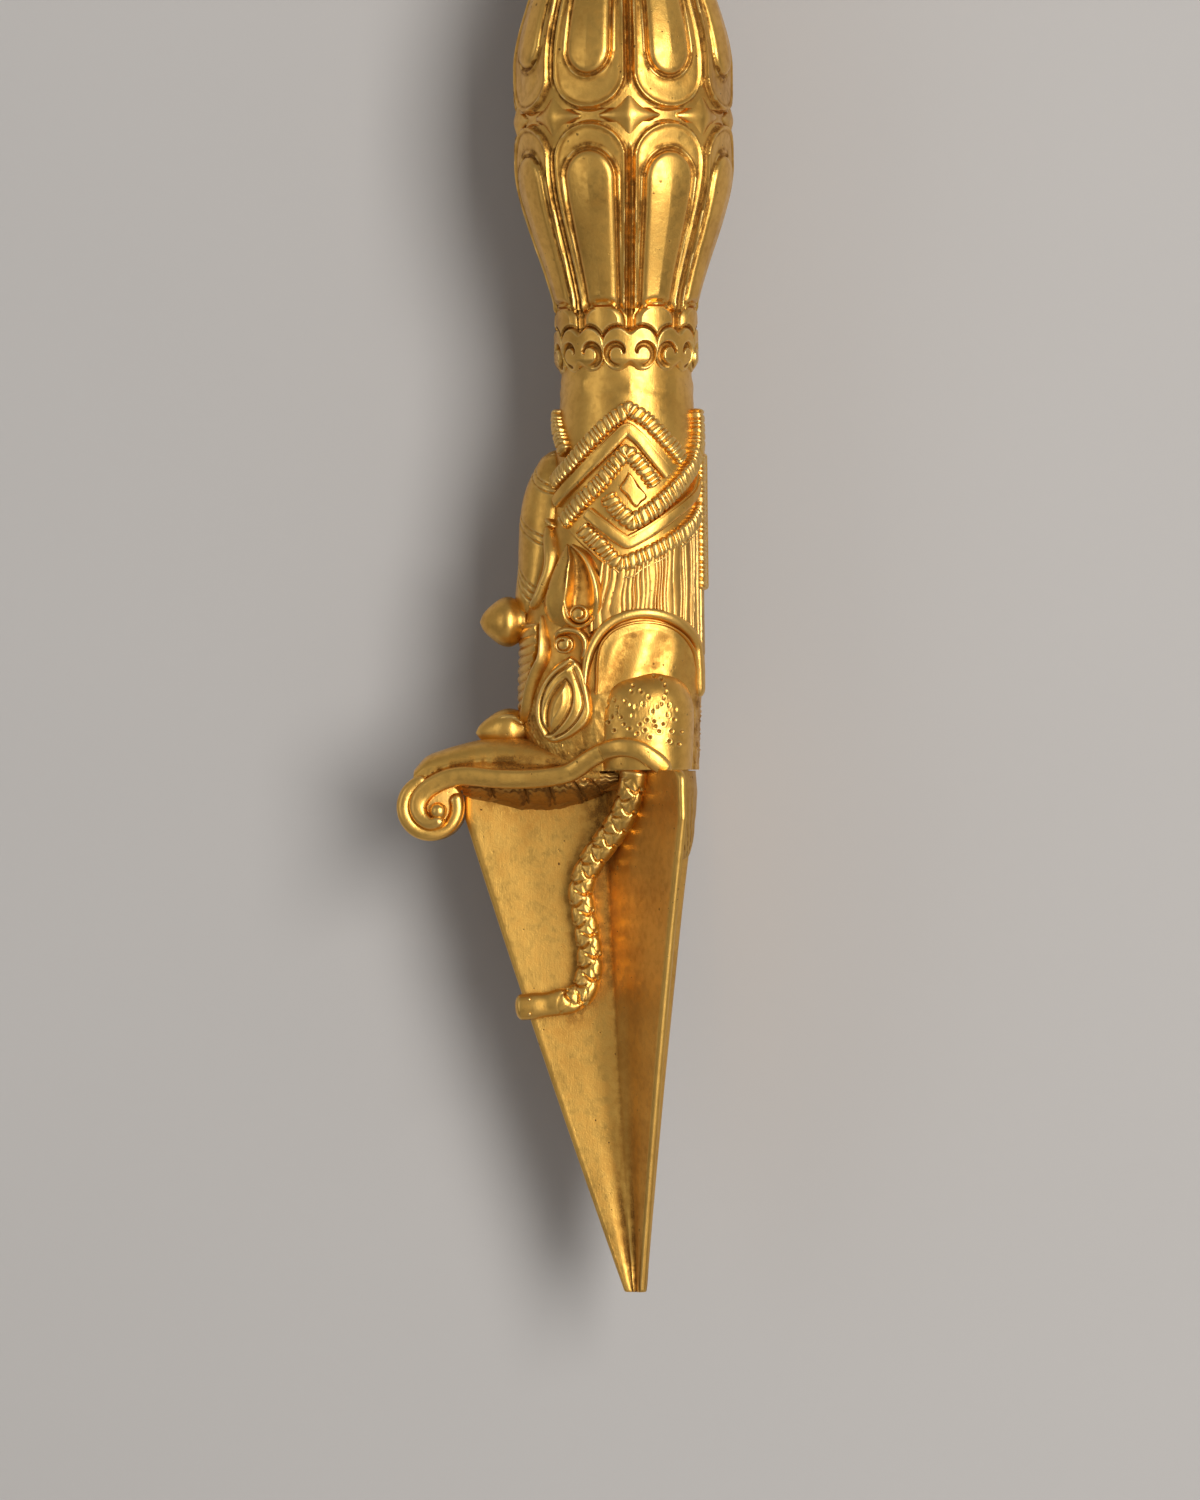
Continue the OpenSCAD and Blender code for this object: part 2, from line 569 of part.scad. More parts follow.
module back_cord_solid() {
    for (s = [-1, 1]) sided(s) {
        q = [for (d = [8.4:4.3:26]) [85.4, d]];
        n = len(q);
        chain(band(on_drum(q, cord_d * 0.16), out_drum(q), fill(cord_d / 2, n), fill(cord_d / 2, n), 6));
    }
}

module back_cord() color(gold) difference() {
    back_cord_solid();
    skull_solid();
    for (s = [-1, 1]) sided(s) knot_solid();
}

// Beard and lower jaw, in the hollow between the two rear fins
module lower_jaw() color(old_gold) difference() {
    chain([for (q = [[seat, 4.4, 4.6, 7], [1.5, 4.4, 4.7, 6.8], [3, 4.6, 4.6, 6.4], [4.5, 4.8, 4.3, 5.8],
        [6, 5, 4, 5.2],
        [7.5, 5.2, 3.6, 4.4], [9, 5.6, 3.1, 3.6], [10.6, 6, 2.4, 2.6], [12.2, 6.6, 1.2, 1.2]])
        [for (i = [0:9]) let (t = 36 * (i + 0.5)) [q[1] + q[2] * cos(t), q[3] * sin(t), z_mouth - q[0]]]]);
    blade_fins();
    translate([0, 0, z_mouth - 1 - seat]) cylinder(d = tang_d + 2 * fit, h = 2);
    sided(-1) rotated_snake(120);
}

function blade_part(z) = max(0, min(1, (z_mouth - z) / blade_len));
function blade_axis(z) = -blade_shift * (1 - pow(blade_part(z), 1.6));
function fin_at(z) = min(fin_reach, tip_w / 2 + (fin_reach + fin_flare - tip_w / 2) * (1 - blade_part(z)));
function root_at(z) = tip_w * 0.3 + (core_r - tip_w * 0.3) * (1 - blade_part(z));

// Section of the blade at height z; above the upper jaw the fin under the snout stops short
function blade_ring(z) = [for (a = [180, 300, 60]) let (r = a == 180 && z > z_jaw
    + seat / 2 ? 5.4 : fin_at(z),
    c = root_at(z), e = min(fin_t / 2, r * 0.3))
    for (q = [[r * 0.35, -c * 0.62], [r * 0.66, -e * 1.2], [r - 0.3, -e], [r, -e * 0.5], [r, e * 0.5],
        [r - 0.3, e], [r * 0.66, e * 1.2], [r * 0.35, c * 0.62], [c * 0.5, c * 0.866]])
        [blade_axis(z) + q[0] * cos(a) - q[1] * sin(a), q[0] * sin(a) + q[1] * cos(a), z]];

module blade_fins() loft([for (down = [73, 65.7, 54.8, 43.8, 32.8, 21.9, 13.1,
    73 * fin_flare / (fin_reach + fin_flare - tip_w / 2), jaw_drop, jaw_drop - seat, 0])
    blade_ring(z_mouth - down * (down > jaw_drop ? blade_len / 73 : 1))]);

module blade() color(gold) {
    blade_fins();
    translate([0, 0, z_mouth - 1]) cylinder(d = tang_d, h = z_top + 3 - z_mouth);
}

// Snake out of the corner of the mouth, down the hollow and out over the fin's edge
snake_pts = [[0.8, -10, 0.6], [0.2, -9, -3], [-0.9, -7.4, -6], [-3, -5.2, -9.2], [-5.7, -3.5, -12.8],
    [-7.1, -2.6, -16.4],
    [-6.7, -2.3, -20.4], [-6.1, -2.2, -24.6], [-6.2, -2.1, -28.4], [-7.6, -2, -31.4], [-11, -1.8, -32.4],
        [-14, -1.7, -32.8],
    [-16.6, -1.5, -33]];
module snake_solid(n = len(snake_pts)) {
    p = [for (k = [0:n - 1]) let (q = snake_pts[k]) [q[0], q[1], z_mouth + q[2] * blade_len / 73]];
    w = [for (k = [0:n - 1]) snake_d / 2 * (k == n - 1 ? 0.55 : k > n - 3 ? 1.1 : k > n - 5 ? 0.85 : 1)];
    chain(band(p, fill([-0.2, -1, 0], n), w, w * 0.9, 6));
}

module rotated_snake(a, n = len(snake_pts)) translate([-blade_shift, 0, 0]) rotate([0, 0, a])
    translate([blade_shift, 0, 0]) snake_solid(n);

module snake(a, s, n = len(snake_pts)) difference() {
    sided(s) rotated_snake(a, n);
    blade_fins();
    translate([-30, -30, z_mouth - seat]) cube([60, 60, 8]);
}

module snake_a() color(gold) snake(0, 1);

module snake_b() color(gold) snake(120, -1, len(snake_pts) - 2);

module snake_c() color(gold) snake(0, -1);

// Lotus base: eight upright petals round a cup, with a rim
module lotus_base() color(gold) difference() {
    union() {
        translate([0, 0, z_top]) cylinder(r1 = neck_d / 2 + 0.6, r2 = lotus_d / 2 - 1.4, h = lotus_h - 1.4,
            $fn = 16);
        translate([0, 0, z_vajra - 1.4]) cylinder(r1 = lotus_d / 2 - 1.4, r2 = lotus_d / 2 - 2, h = 1.4,
            $fn = 16);
        for (i = [0:petals - 1]) rotate([0, 0, turn + sector * (i + 0.5)]) {
            n = 3;
            chain([for (k = [0:n]) let (v = k / n, w = lotus_d * 0.17 * sqrt(max(0.03,
                1 - pow(abs(2 * v - 0.7) / 1.35, 3))),
                r = neck_d / 2 - 0.4 + (lotus_d / 2 - neck_d / 2 + 0.4) * pow(v, 0.8))
                [for (j = [0:4]) let (t = 72 * j) [r - 1 + 1.1 * cos(t), w * sin(t),
                    z_top + 0.2 + v * (lotus_h - 1.8)]]]);
        }
    }
    translate([0, 0, z_top - 1]) cylinder(r = r_bore, h = 4.2, $fn = 16);
}

// Outer prong: leaves the base, swells outward and bends in to the centre prong
module prong(a) rotate([0, 0, a]) {
    p = smooth([[4, 0, 0.4], [7.4, 0, 2.6], [10, 0, 7], [11, 0, 12.5], [9.8, 0, 18.6], [6.6, 0, 23.4],
        [3.2, 0, 26.4]], 2);
    q = [for (v = p) [v[0] * prong_reach / 11, 0, z_vajra + v[2] * vajra_h / 31]];
    n = len(q);
    difference() {
        chain(band(q, [for (k = [0:n - 1]) unit(cross(tangent(q, k), [0, 1, 0]))], swell(prong_d * 0.26,
            prong_d * 0.5, n),
            swell(prong_d * 0.3, prong_d * 0.5, n), 6));
        translate([0, 0, z_vajra - 6]) cylinder(r = 40, h = 6);
        centre_solid(0.02);
    }
}

module prong_front() color(gold) prong(180);

module prong_left() color(gold) prong(270);

module prong_back() color(gold) prong(0);

module prong_right() color(gold) prong(90);

module centre_solid(extra) translate([0, 0, z_vajra]) rotate_extrude($fn = 48) polygon([for (q = [[0, 0],
    [5.2, 0],
    [5.2, 1.2], [3.2, 2.2], [2.2, 4], [2.2, 9], [3, 11.4], [2.2, 14], [1.8, 22], [2.6, 24.6], [2.2, 27.6],
        [1, 30.4], [0, 31]])
    [q[0] == 0 ? 0 : q[0] + extra, q[1] * vajra_h / 31]]);

module centre_prong() color(gold) centre_solid(0);

blade();
snake_a();
snake_b();
snake_c();
skull();
snout();
gum_left();
gum_right();
lip_left();
lip_right();
nose_bud();
forehead_bud();
forelock();
brow_left();
brow_right();
eye_left();
eye_right();
ear_left();
ear_right();
cheek_left();
cheek_right();
arch_left();
arch_right();
mane();
knot_left();
knot_right();
back_cord();
lower_jaw();
neck();
lower_collar();
lower_petals();
lozenge_belt();
upper_petals();
upper_collar();
lotus_base();
prong_front();
prong_left();
prong_back();
prong_right();
centre_prong();
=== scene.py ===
import bpy
import bmesh
import numpy as np
from math import atan, cos, pi, radians, sin
from mathutils import Matrix, Vector


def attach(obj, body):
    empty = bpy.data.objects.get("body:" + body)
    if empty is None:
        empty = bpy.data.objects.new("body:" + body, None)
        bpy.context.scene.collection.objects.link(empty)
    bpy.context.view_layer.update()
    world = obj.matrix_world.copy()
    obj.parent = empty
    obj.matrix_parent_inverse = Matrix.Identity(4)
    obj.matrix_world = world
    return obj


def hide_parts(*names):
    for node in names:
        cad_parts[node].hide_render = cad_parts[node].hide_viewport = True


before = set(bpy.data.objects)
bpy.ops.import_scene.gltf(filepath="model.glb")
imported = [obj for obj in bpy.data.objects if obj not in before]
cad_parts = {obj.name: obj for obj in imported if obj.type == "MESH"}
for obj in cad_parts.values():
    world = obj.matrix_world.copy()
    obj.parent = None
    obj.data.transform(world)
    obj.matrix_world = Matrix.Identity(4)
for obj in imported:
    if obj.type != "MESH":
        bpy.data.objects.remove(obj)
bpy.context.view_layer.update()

# The blade: three equal fins forged on one core, with hollow faces and blunt edges, gilded and later
# rubbed bare along the edges. Its round tang runs up through every section of the hilt.
# All sizes from here on are in millimetres; cast() brings a finished piece to metres.
z_mouth, z_jaw, blade_len, blade_shift = -91.4, -94.0, 73.0, 2.6
fin_reach, fin_flare, fin_edge, fin_round, fin_in_jaw = 20.8, 1.9, 0.62, 1.6, 5.4
core_r, tip_w, tang_r, z_top = 2.3, 3.6, 2.5, 36.2


def nth(part, count):
    """The number of the row, out of count, at each part of the way from 0 to 1."""
    return np.rint(part * (count - 1)).astype(int)


def sheet(bm, across, along, shape):
    """A grid of points that shape(u, v) moves into place, with u and v from 0 to 1."""
    made = bmesh.ops.create_grid(bm, x_segments=across, y_segments=along, size=0.5)["verts"]
    uv = np.array([v.co for v in made]) + 0.5
    for v, p in zip(made, shape(uv[:, 0], uv[:, 1])):
        v.co = p
    return made


def weather(mesh, grime_and_shade):
    """Keeps on each point how far the surface bends, inward for dirt and painted shade, outward for wear and
    painted highlight.

    The function passed in, taking x, y, z in millimetres, adds old grime and painted shade to the wide bend
    where no hollow holds it."""
    n = len(mesh.vertices)
    co, no = np.empty(n * 3, np.float32), np.empty(n * 3, np.float32)
    mesh.vertices.foreach_get("co", co)
    mesh.vertices.foreach_get("normal", no)
    co, no = co.reshape(-1, 3) * 1000, no.reshape(-1, 3)
    ends = np.empty(len(mesh.edges) * 2, np.int32)
    mesh.edges.foreach_get("vertices", ends)
    a, b = ends.reshape(-1, 2).T
    step = co[b] - co[a]
    far = np.maximum((step ** 2).sum(1), 1e-4)
    many = np.maximum(np.bincount(a, minlength=n) + np.bincount(b, minlength=n), 1)
    bend = np.bincount(a, (step * no[a]).sum(1) / far, n) - np.bincount(b, (step * no[b]).sum(1) / far, n)
    bend = np.clip(bend / many, -3, 3)
    sharp = np.zeros(len(a), bool)
    mesh.attributes["sharp_edge"].data.foreach_get("value", sharp)
    bend[a[sharp]] = bend[b[sharp]] = 0
    for k in range(14):
        bend = 0.4 * bend + 0.6 * (np.bincount(a, bend[b], n) + np.bincount(b, bend[a], n)) / many
        if k == 2:
            near = bend.astype(np.float32)
    wide = bend.astype(np.float32)
    if grime_and_shade:
        wide += grime_and_shade(*co.T)
    for name, values in (("near_bend", near), ("wide_bend", wide)):
        mesh.attributes.new(name, "FLOAT", "POINT").data.foreach_set("value", values)


def cast(bm, name, metal, grime_and_shade=None):
    """Closes a piece modelled in millimetres, makes it an object in metres and lets it stand for its node."""
    bmesh.ops.remove_doubles(bm, verts=bm.verts, dist=0.002)
    rim = [e for e in bm.edges if e.is_boundary]
    if rim:
        bmesh.ops.holes_fill(bm, edges=rim, sides=0)
    bmesh.ops.recalc_face_normals(bm, faces=bm.faces)
    bmesh.ops.scale(bm, vec=(0.001, 0.001, 0.001), verts=bm.verts)
    mesh = bpy.data.meshes.new(name)
    bm.to_mesh(mesh)
    bm.free()
    mesh.shade_smooth()
    mesh.set_sharp_from_angle(angle=radians(58))
    weather(mesh, grime_and_shade)
    mesh.materials.append(metal)
    piece = bpy.data.objects.new(name, mesh)
    bpy.context.scene.collection.objects.link(piece)
    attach(piece, "root")
    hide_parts(name)


def ease(x, lo=0.0, hi=1.0):
    """Rises smoothly from 0 at lo to 1 at hi."""
    t = np.clip((x - lo) / (hi - lo), 0, 1)
    return t * t * (3 - 2 * t)


def bell(x, width):
    """1 at x = 0, falling off to both sides."""
    return np.exp(-(x / width) ** 2)


def travel(points):
    """The distance travelled at each point of a row."""
    return np.r_[0, np.cumsum(np.linalg.norm(np.diff(points, axis=0), axis=1))]


def spaced(points, count):
    """The same broken line as count evenly spaced points."""
    way = travel(points)
    at = np.linspace(0, way[-1], count)
    return np.stack([np.interp(at, way, points[:, i]) for i in range(points.shape[1])], 1)


def flow(points, count):
    """A smooth row of count points through the given ones, evenly spaced along it."""
    p = np.array(points, float)
    q = np.vstack([2 * p[0] - p[1], p, 2 * p[-1] - p[-2]])
    t = np.linspace(0, len(p) - 1 - 1e-9, 24 * len(p))
    k, f = t.astype(int), (t % 1)[:, None]
    a, b, c, d = q[k], q[k + 1], q[k + 2], q[k + 3]
    fine = b + f * (c - a) / 2 + f ** 2 * (a - 2.5 * b + 2 * c - 0.5 * d)
    fine = fine + f ** 3 * (-a + 3 * b - 3 * c + d) / 2
    return spaced(fine, count)


def gilding():
    """Fire gilding as one group: warm gold, redder in hollows, darker there as grime and painted shade, pale
    where rubbed and as painted highlight on bulges, with pits and scratches.
    """
    g = bpy.data.node_groups.new("gilding", "ShaderNodeTree")
    for name, kind, value in (("Near", "Float", 0.0), ("Wide", "Float", 0.0),
                              ("Gold", "Color", (0.9, 0.6, 0.22, 1)),
                              ("Deep", "Color", (0.5, 0.2, 0.04, 1)), ("Pale", "Color", (0.95, 0.74, 0.4, 1)),
                              ("Grime_and_shade", "Float", 1.0), ("Roughness", "Float", 0.3), ("Grain", "Float", 1.0)):
        socket = g.interface.new_socket(name, in_out="INPUT", socket_type="NodeSocket" + kind)
        socket.default_value = value
    for name, kind in (("Color", "Color"), ("Roughness", "Float"), ("Height", "Float")):
        g.interface.new_socket(name, in_out="OUTPUT", socket_type="NodeSocket" + kind)
    add, link = g.nodes.new, g.links.new
    given, result = add("NodeGroupInput").outputs, add("NodeGroupOutput").inputs
    place = add("ShaderNodeTexCoord")

    def mapped(*stretch):
        m = add("ShaderNodeMapping")
        m.inputs["Scale"].default_value = [1000 * k for k in stretch]
        link(place.outputs["Object"], m.inputs[0])
        return m.outputs[0]

    def noise(scale, detail, stretch=(1, 1, 1)):
        t = add("ShaderNodeTexNoise")
        t.inputs["Scale"].default_value, t.inputs["Detail"].default_value = scale, detail
        t.inputs["Roughness"].default_value = 0.55
        link(mapped(*stretch), t.inputs["Vector"])
        return t.outputs["Fac"]

    def put(node, values, first=0):
        """Sets or links a node's inputs in their order."""
        for socket, value in zip(list(node.inputs)[first:], values):
            if isinstance(value, bpy.types.NodeSocket):
                link(value, socket)
            else:
                socket.default_value = value

    def calc(op, a, b, clamp=False):
        m = add("ShaderNodeMath")
        m.operation, m.use_clamp = op, clamp
        put(m, (a, b))
        return m.outputs[0]

    def plus(a, b, clamp=False):
        return calc("ADD", a, b, clamp)

    def times(a, b, clamp=False):
        return calc("MULTIPLY", a, b, clamp)

    def span(value, lo, hi, to_lo=0.0, to_hi=1.0):
        m = add("ShaderNodeMapRange")
        m.interpolation_type = "SMOOTHSTEP"
        put(m, (value, lo, hi, to_lo, to_hi))
        return m.outputs[0]

    def blend(fac, a, b):
        m = add("ShaderNodeMix")
        m.data_type = "RGBA"
        put(m, (fac,))
        put(m, (a, b), 6)
        return m.outputs[2]

    patch, mottle, fine = noise(0.11, 4), noise(0.9, 4), noise(5.0, 3)
    # colour: patches of redder gold, pale where the surface bulges (rubbed wear and painted highlight),
    # brown-red where it is hollow (grime and painted shade)
    redder = plus(span(patch, 0.42, 0.72, 0.0, 0.4), span(mottle, 0.42, 0.66, 0.0, 0.22))
    tone = blend(redder, given["Gold"], given["Deep"])
    rub_and_highlight = times(span(times(given["Near"], -1.0), 0.05, 0.9), span(mottle, 0.3, 0.6, 0.5, 1.0))
    tone = blend(times(rub_and_highlight, 0.7), tone, given["Pale"])
    dirt_and_shade = calc("MAXIMUM", span(given["Near"], 0.06, 0.75), span(given["Wide"], 0.0, 0.24, 0.0, 0.9))
    dirt_and_shade = times(times(dirt_and_shade, span(mottle, 0.25, 0.6, 0.55, 1.0)), given["Grime_and_shade"], clamp=True)
    tone = blend(times(dirt_and_shade, 0.88), tone, given["Deep"])
    # near-black in deep narrow hollows and grooves: crust and painted shade
    crust_and_shade = times(span(dirt_and_shade, 0.45, 0.95), span(plus(fine, times(mottle, 0.5)), 0.62, 0.86))
    tone = blend(times(crust_and_shade, 0.55), tone, (0.10, 0.048, 0.016, 1))
    # casting pits: sparse black specks, thicker in some places
    cells = add("ShaderNodeTexVoronoi")
    cells.inputs["Scale"].default_value = 0.85
    link(mapped(1, 1, 1), cells.inputs["Vector"])
    size = span(noise(0.16, 3), 0.46, 0.7, 0.03, 0.25)
    pit = span(calc("DIVIDE", cells.outputs["Distance"], size), 0.5, 1.0, 1.0, 0.0)
    pit = times(pit, span(fine, 0.42, 0.55))
    tone = blend(times(pit, 0.8), tone, (0.05, 0.025, 0.012, 1))
    link(tone, result["Color"])
    # shine: rubbed places are smoother, dirt is dull
    dull = plus(given["Roughness"], span(mottle, 0.3, 0.7, -0.05, 0.08))
    dull = plus(plus(dull, times(dirt_and_shade, 0.26)), times(rub_and_highlight, -0.06))
    link(plus(dull, times(pit, 0.3), clamp=True), result["Roughness"])
    # relief of the skin: slight waves of the hammer, burnishing lines and the pits
    waves, grain = times(noise(0.42, 3), 0.045), times(fine, 0.015)
    lines = times(noise(2.2, 3, (2.5, 2.5, 0.22)), 0.010)
    high = plus(plus(lines, grain), times(pit, -0.03))
    high = plus(plus(high, times(times(fine, dirt_and_shade), 0.03)), waves)
    link(times(high, given["Grain"]), result["Height"])
    return g


skin = gilding()


def gilt(name, gold, deep, pale, grime_and_shade, rough, grain=1.0):
    """A gilded metal: the shared skin with its own colours, dirt and painted shade in hollows, and shine."""
    mat = bpy.data.materials.new(name)
    mat.use_nodes = True
    add, link = mat.node_tree.nodes.new, mat.node_tree.links.new
    metal = mat.node_tree.nodes["Principled BSDF"].inputs
    metal["Metallic"].default_value = 1.0
    coat = add("ShaderNodeGroup")
    coat.node_tree = skin
    for key, value in (("Gold", (*gold, 1)), ("Deep", (*deep, 1)), ("Pale", (*pale, 1)), ("Grime_and_shade", grime_and_shade),
                       ("Roughness", rough), ("Grain", grain)):
        coat.inputs[key].default_value = value
    for key, attribute in (("Near", "near_bend"), ("Wide", "wide_bend")):
        bend = add("ShaderNodeAttribute")
        bend.attribute_name = attribute
        link(bend.outputs["Fac"], coat.inputs[key])
    bump = add("ShaderNodeBump")
    bump.inputs["Strength"].default_value = 1.0
    bump.inputs["Distance"].default_value = 0.001
    link(coat.outputs["Color"], metal["Base Color"])
    link(coat.outputs["Roughness"], metal["Roughness"])
    link(coat.outputs["Height"], bump.inputs["Height"])
    link(bump.outputs["Normal"], metal["Normal"])
    return mat


blade_gilt = gilt("blade_gilding", (0.76, 0.44, 0.10), (0.42, 0.195, 0.034), (0.86, 0.56, 0.17), 1.0, 0.38)


def fin_section(z):
    """Outline of the three fins at height z, once round: the front fin, then the two at the back."""
    part = np.clip((z_mouth - z) / blade_len, 0, 1)
    reach = min(fin_reach, tip_w / 2 + (fin_reach + fin_flare - tip_w / 2) * (1 - part))
    c = tip_w * 0.3 + (core_r - tip_w * 0.3) * (1 - part)
    shift = -blade_shift * (1 - part ** 1.6)
    drop = max(0, fin_round - (z_mouth - z))
    shoulder = fin_round - np.sqrt(max(0, fin_round ** 2 - drop ** 2))
    out = []
    for turn in (180, 300, 60):
        if turn == 180:
            r = fin_in_jaw if z > z_jaw else reach
        else:
            r = reach - shoulder
        e = min(fin_edge, r * 0.3)
        half = flow([[c * 0.5, -c * 0.866], [r * 0.3, -c * 0.5], [r * 0.62, -e * 1.05], [r * 0.86, -e * 1.0],
                     [r - 0.5, -e], [r - 0.12, -e * 0.72], [r, 0]], 40)
        x, y = np.vstack([half, half[-2:0:-1] * [1, -1]]).T
        a = radians(turn)
        out.append(np.stack([shift + x * cos(a) - y * sin(a), x * sin(a) + y * cos(a)], 1))
    ring = np.vstack(out)
    return np.vstack([ring, ring[:1]])


blade_down = np.r_[0, 0, np.linspace(0.02, 1.6, 10), 2.3, 2.59, 2.61, np.linspace(3, 72.6, 190), 72.9,
                   blade_len, blade_len]
blade_rings = np.array([fin_section(z_mouth - d) for d in blade_down])
blade_rings[0] = (-blade_shift, 0)
blade_rings[-1] = (0, 0)
blade_rings[-2] = blade_rings[-2] * 0.9
blade_rows, blade_points = blade_rings.shape[:2]


def blade_shape(u, v):
    k = nth(v, blade_rows)
    return np.column_stack([blade_rings[k, nth(u, blade_points)], z_mouth - blade_down[k]])


def blade_grime_and_shade(x, y, z):
    """Grime and painted shade: thick under the mouth and beside the snake, thin over the rest of the fin's
    face.
    """
    depth = z_mouth - z
    snake_x = np.interp(depth, [0, 8, 13, 30, 36, 73], [0, -4, -7, -6.5, -9, -2])
    beside = 0.13 * np.clip(1 - np.abs(x - snake_x) / 4.5, 0, 1) * ease(-depth, -40, -33)
    return (0.07 + 0.16 * np.clip(1 - depth / 9, 0, 1) + beside) * (depth > 0) * ease(-np.abs(y), -4, -2.5)


bm = bmesh.new()
sheet(bm, blade_points - 1, blade_rows - 1, blade_shape)
tang = bmesh.ops.create_cone(bm, cap_ends=True, segments=32, radius1=tang_r, radius2=tang_r,
                             depth=z_top + 4 - z_mouth)["verts"]
bmesh.ops.translate(bm, vec=(0, 0, (z_top + 2 + z_mouth) / 2), verts=tang)
cast(bm, "blade", blade_gilt, blade_grime_and_shade)

# The three snakes, one on the hollow face of each fin: a cast cord chased with rows of crescent
# scales, that comes out of the mouth's corner and lays its head over the fin's edge.
snake_steps, snake_b_steps, scale_pitch = 460, 392, 3.0
snake_way = flow([[0.8, -10, 0.6], [0.2, -9, -3], [-0.9, -7.4, -6], [-3, -5.2, -9.2], [-5.7, -3.5, -12.8],
                  [-7.1, -2.6, -16.4], [-6.7, -2.3, -20.4], [-6.1, -2.2, -24.6], [-6.2, -2.1, -28.4],
                  [-7.6, -2, -31.4], [-11, -1.8, -32.4], [-14, -1.7, -32.8], [-16.6, -1.5, -33]], snake_steps)
snake_way = snake_way + [0, 0, z_mouth]
bright_gilt = gilt("bright_gilding", (0.81, 0.465, 0.105), (0.41, 0.185, 0.03), (0.89, 0.61, 0.22), 1.1, 0.35)


def tube(bm, way, up, width, height, around=24, relief=None, ends=1.0, square=2.0):
    """A cord along way: up is its outward side, width and height are half sizes, relief(s, turn) cuts it."""
    m = len(way)
    go = np.gradient(way, axis=0)
    go /= np.maximum(np.linalg.norm(go, axis=1), 1e-9)[:, None]
    side = np.cross(go, up)
    side /= np.maximum(np.linalg.norm(side, axis=1), 1e-9)[:, None]
    up = np.cross(side, go)
    s = travel(way)
    width, height = np.broadcast_to(width, m), np.broadcast_to(height, m)
    near_end = np.minimum(s, s[-1] - s) / ends
    close = np.sqrt(np.clip(1 - (1 - np.clip(near_end, 0, 1)) ** 2, 0, 1))

    def shape(u, v):
        k, t = nth(v, m), 2 * pi * u
        c, d = np.cos(t), np.sin(t)
        c, d = np.sign(c) * np.abs(c) ** (2 / square), np.sign(d) * np.abs(d) ** (2 / square)
        cut = relief(s[k], t) if relief else 0
        w, h = (width[k] + cut) * close[k], (height[k] + cut) * close[k]
        return way[k] + side[k] * (w * c)[:, None] + up[k] * (h * d)[:, None]

    return sheet(bm, around, m - 1, shape)


def scales(s, t):
    """Crescent cuts in two rows over the snake's back, each set between two of the other row."""
    q, cut = ((t - pi / 2 + pi) % (2 * pi) - pi) * 1.8, 0
    for row, middle in enumerate((-0.82, 0.82, -2.5, 2.5)):
        ds = ((s / scale_pitch + row % 2 * 0.5) % 1 - 0.5) * scale_pitch
        dq = q - middle + 0.12 * np.sin(s)
        bow = ds - 0.8 * (1 - (dq / 1.2) ** 2) + 0.4
        cut = cut - 0.55 * bell(bow, 0.2) * (1 - ease(np.abs(dq), 0.95, 1.3))
        cut = cut - 0.12 * ease(bow, 0, 0.4) * ease(-bow, -1.2, -0.4)
    return cut * ease(s, 0.5, 3) * ease(-s, -39.5, -37.5)


for name, turn, side, count in (("snake_a", 0, 1, snake_steps), ("snake_b", 2 * pi / 3, -1, snake_b_steps),
                                ("snake_c", 0, -1, snake_steps)):
    bm = bmesh.new()
    s = np.linspace(0, 1, count)
    size = (1.86 + 0.08 * np.sin(s * 9)) * (1 - 0.1 * bell(s - 0.9, 0.03)) * (1 - 0.05 * ease(s, 0.9, 1))
    tube(bm, snake_way[:count], [-0.2, -1, 0.0], size, size * 0.86, 60, scales, 0.9, 2.4)
    for across in (-1.0, 1.0):
        eye = bmesh.ops.create_icosphere(bm, subdivisions=3, radius=0.3)["verts"]
        bmesh.ops.translate(bm, vec=Vector(snake_way[count - 22]) + Vector((0, -1.35, across)), verts=eye)
    bmesh.ops.rotate(bm, verts=bm.verts, cent=(-blade_shift, 0, 0), matrix=Matrix.Rotation(turn, 3, "Z"))
    bmesh.ops.scale(bm, vec=(1, side, 1), verts=bm.verts)
    cast(bm, name, bright_gilt)

# The makara's skull: a hollow casting, oval in plan, that swells from the neck to the brows. The
# ornaments were modelled in wax on it, so each is placed by x and by its depth below the head's top.
z_head, head_len, neck_r, bore_r = -39.4, 52.0, 9.3, 2.6
skull_end, skull_around, skull_along = 0.04, 380, 225
# each row: part of the head's length, reach to the front, to the rear and to each side, squareness
skull_rows = flow([[0, 9.3, 9.3, 9.3, 2.0], [0.12, 9.9, 9.6, 9.6, 2.04], [0.3, 11, 9.6, 9.65, 2.1],
                   [0.45, 12.4, 9.6, 9.7, 2.3], [0.58, 14.4, 9.6, 9.8, 2.5], [0.72, 15, 9.6, 9.7, 2.5],
                   [0.86, 15, 9.3, 9.6, 2.5], [1, 13.6, 9.0, 8.6, 2.5]], 260)


def skull_sizes(z, *columns):
    return [np.interp((z_head - z) / head_len, skull_rows[:, 0], skull_rows[:, i]) for i in columns]


def skull_at(f, z, lift=0.0):
    """Point of the skull at height z: angle 0 is the left side, -90 the face and 90 the back."""
    f, z = np.asarray(f, float), np.asarray(z, float)
    front, rear, half, power = skull_sizes(z, 1, 2, 3, 4)
    a, c, k = (front + rear) / 2 + lift, (rear - front) / 2, 2 / power
    s, o = np.sin(np.radians(f)), np.cos(np.radians(f))
    x, y = c + a * np.sign(s) * np.abs(s) ** k, -np.sign(o) * (half + lift) * np.abs(o) ** k
    return np.stack([x, y, z], -1)


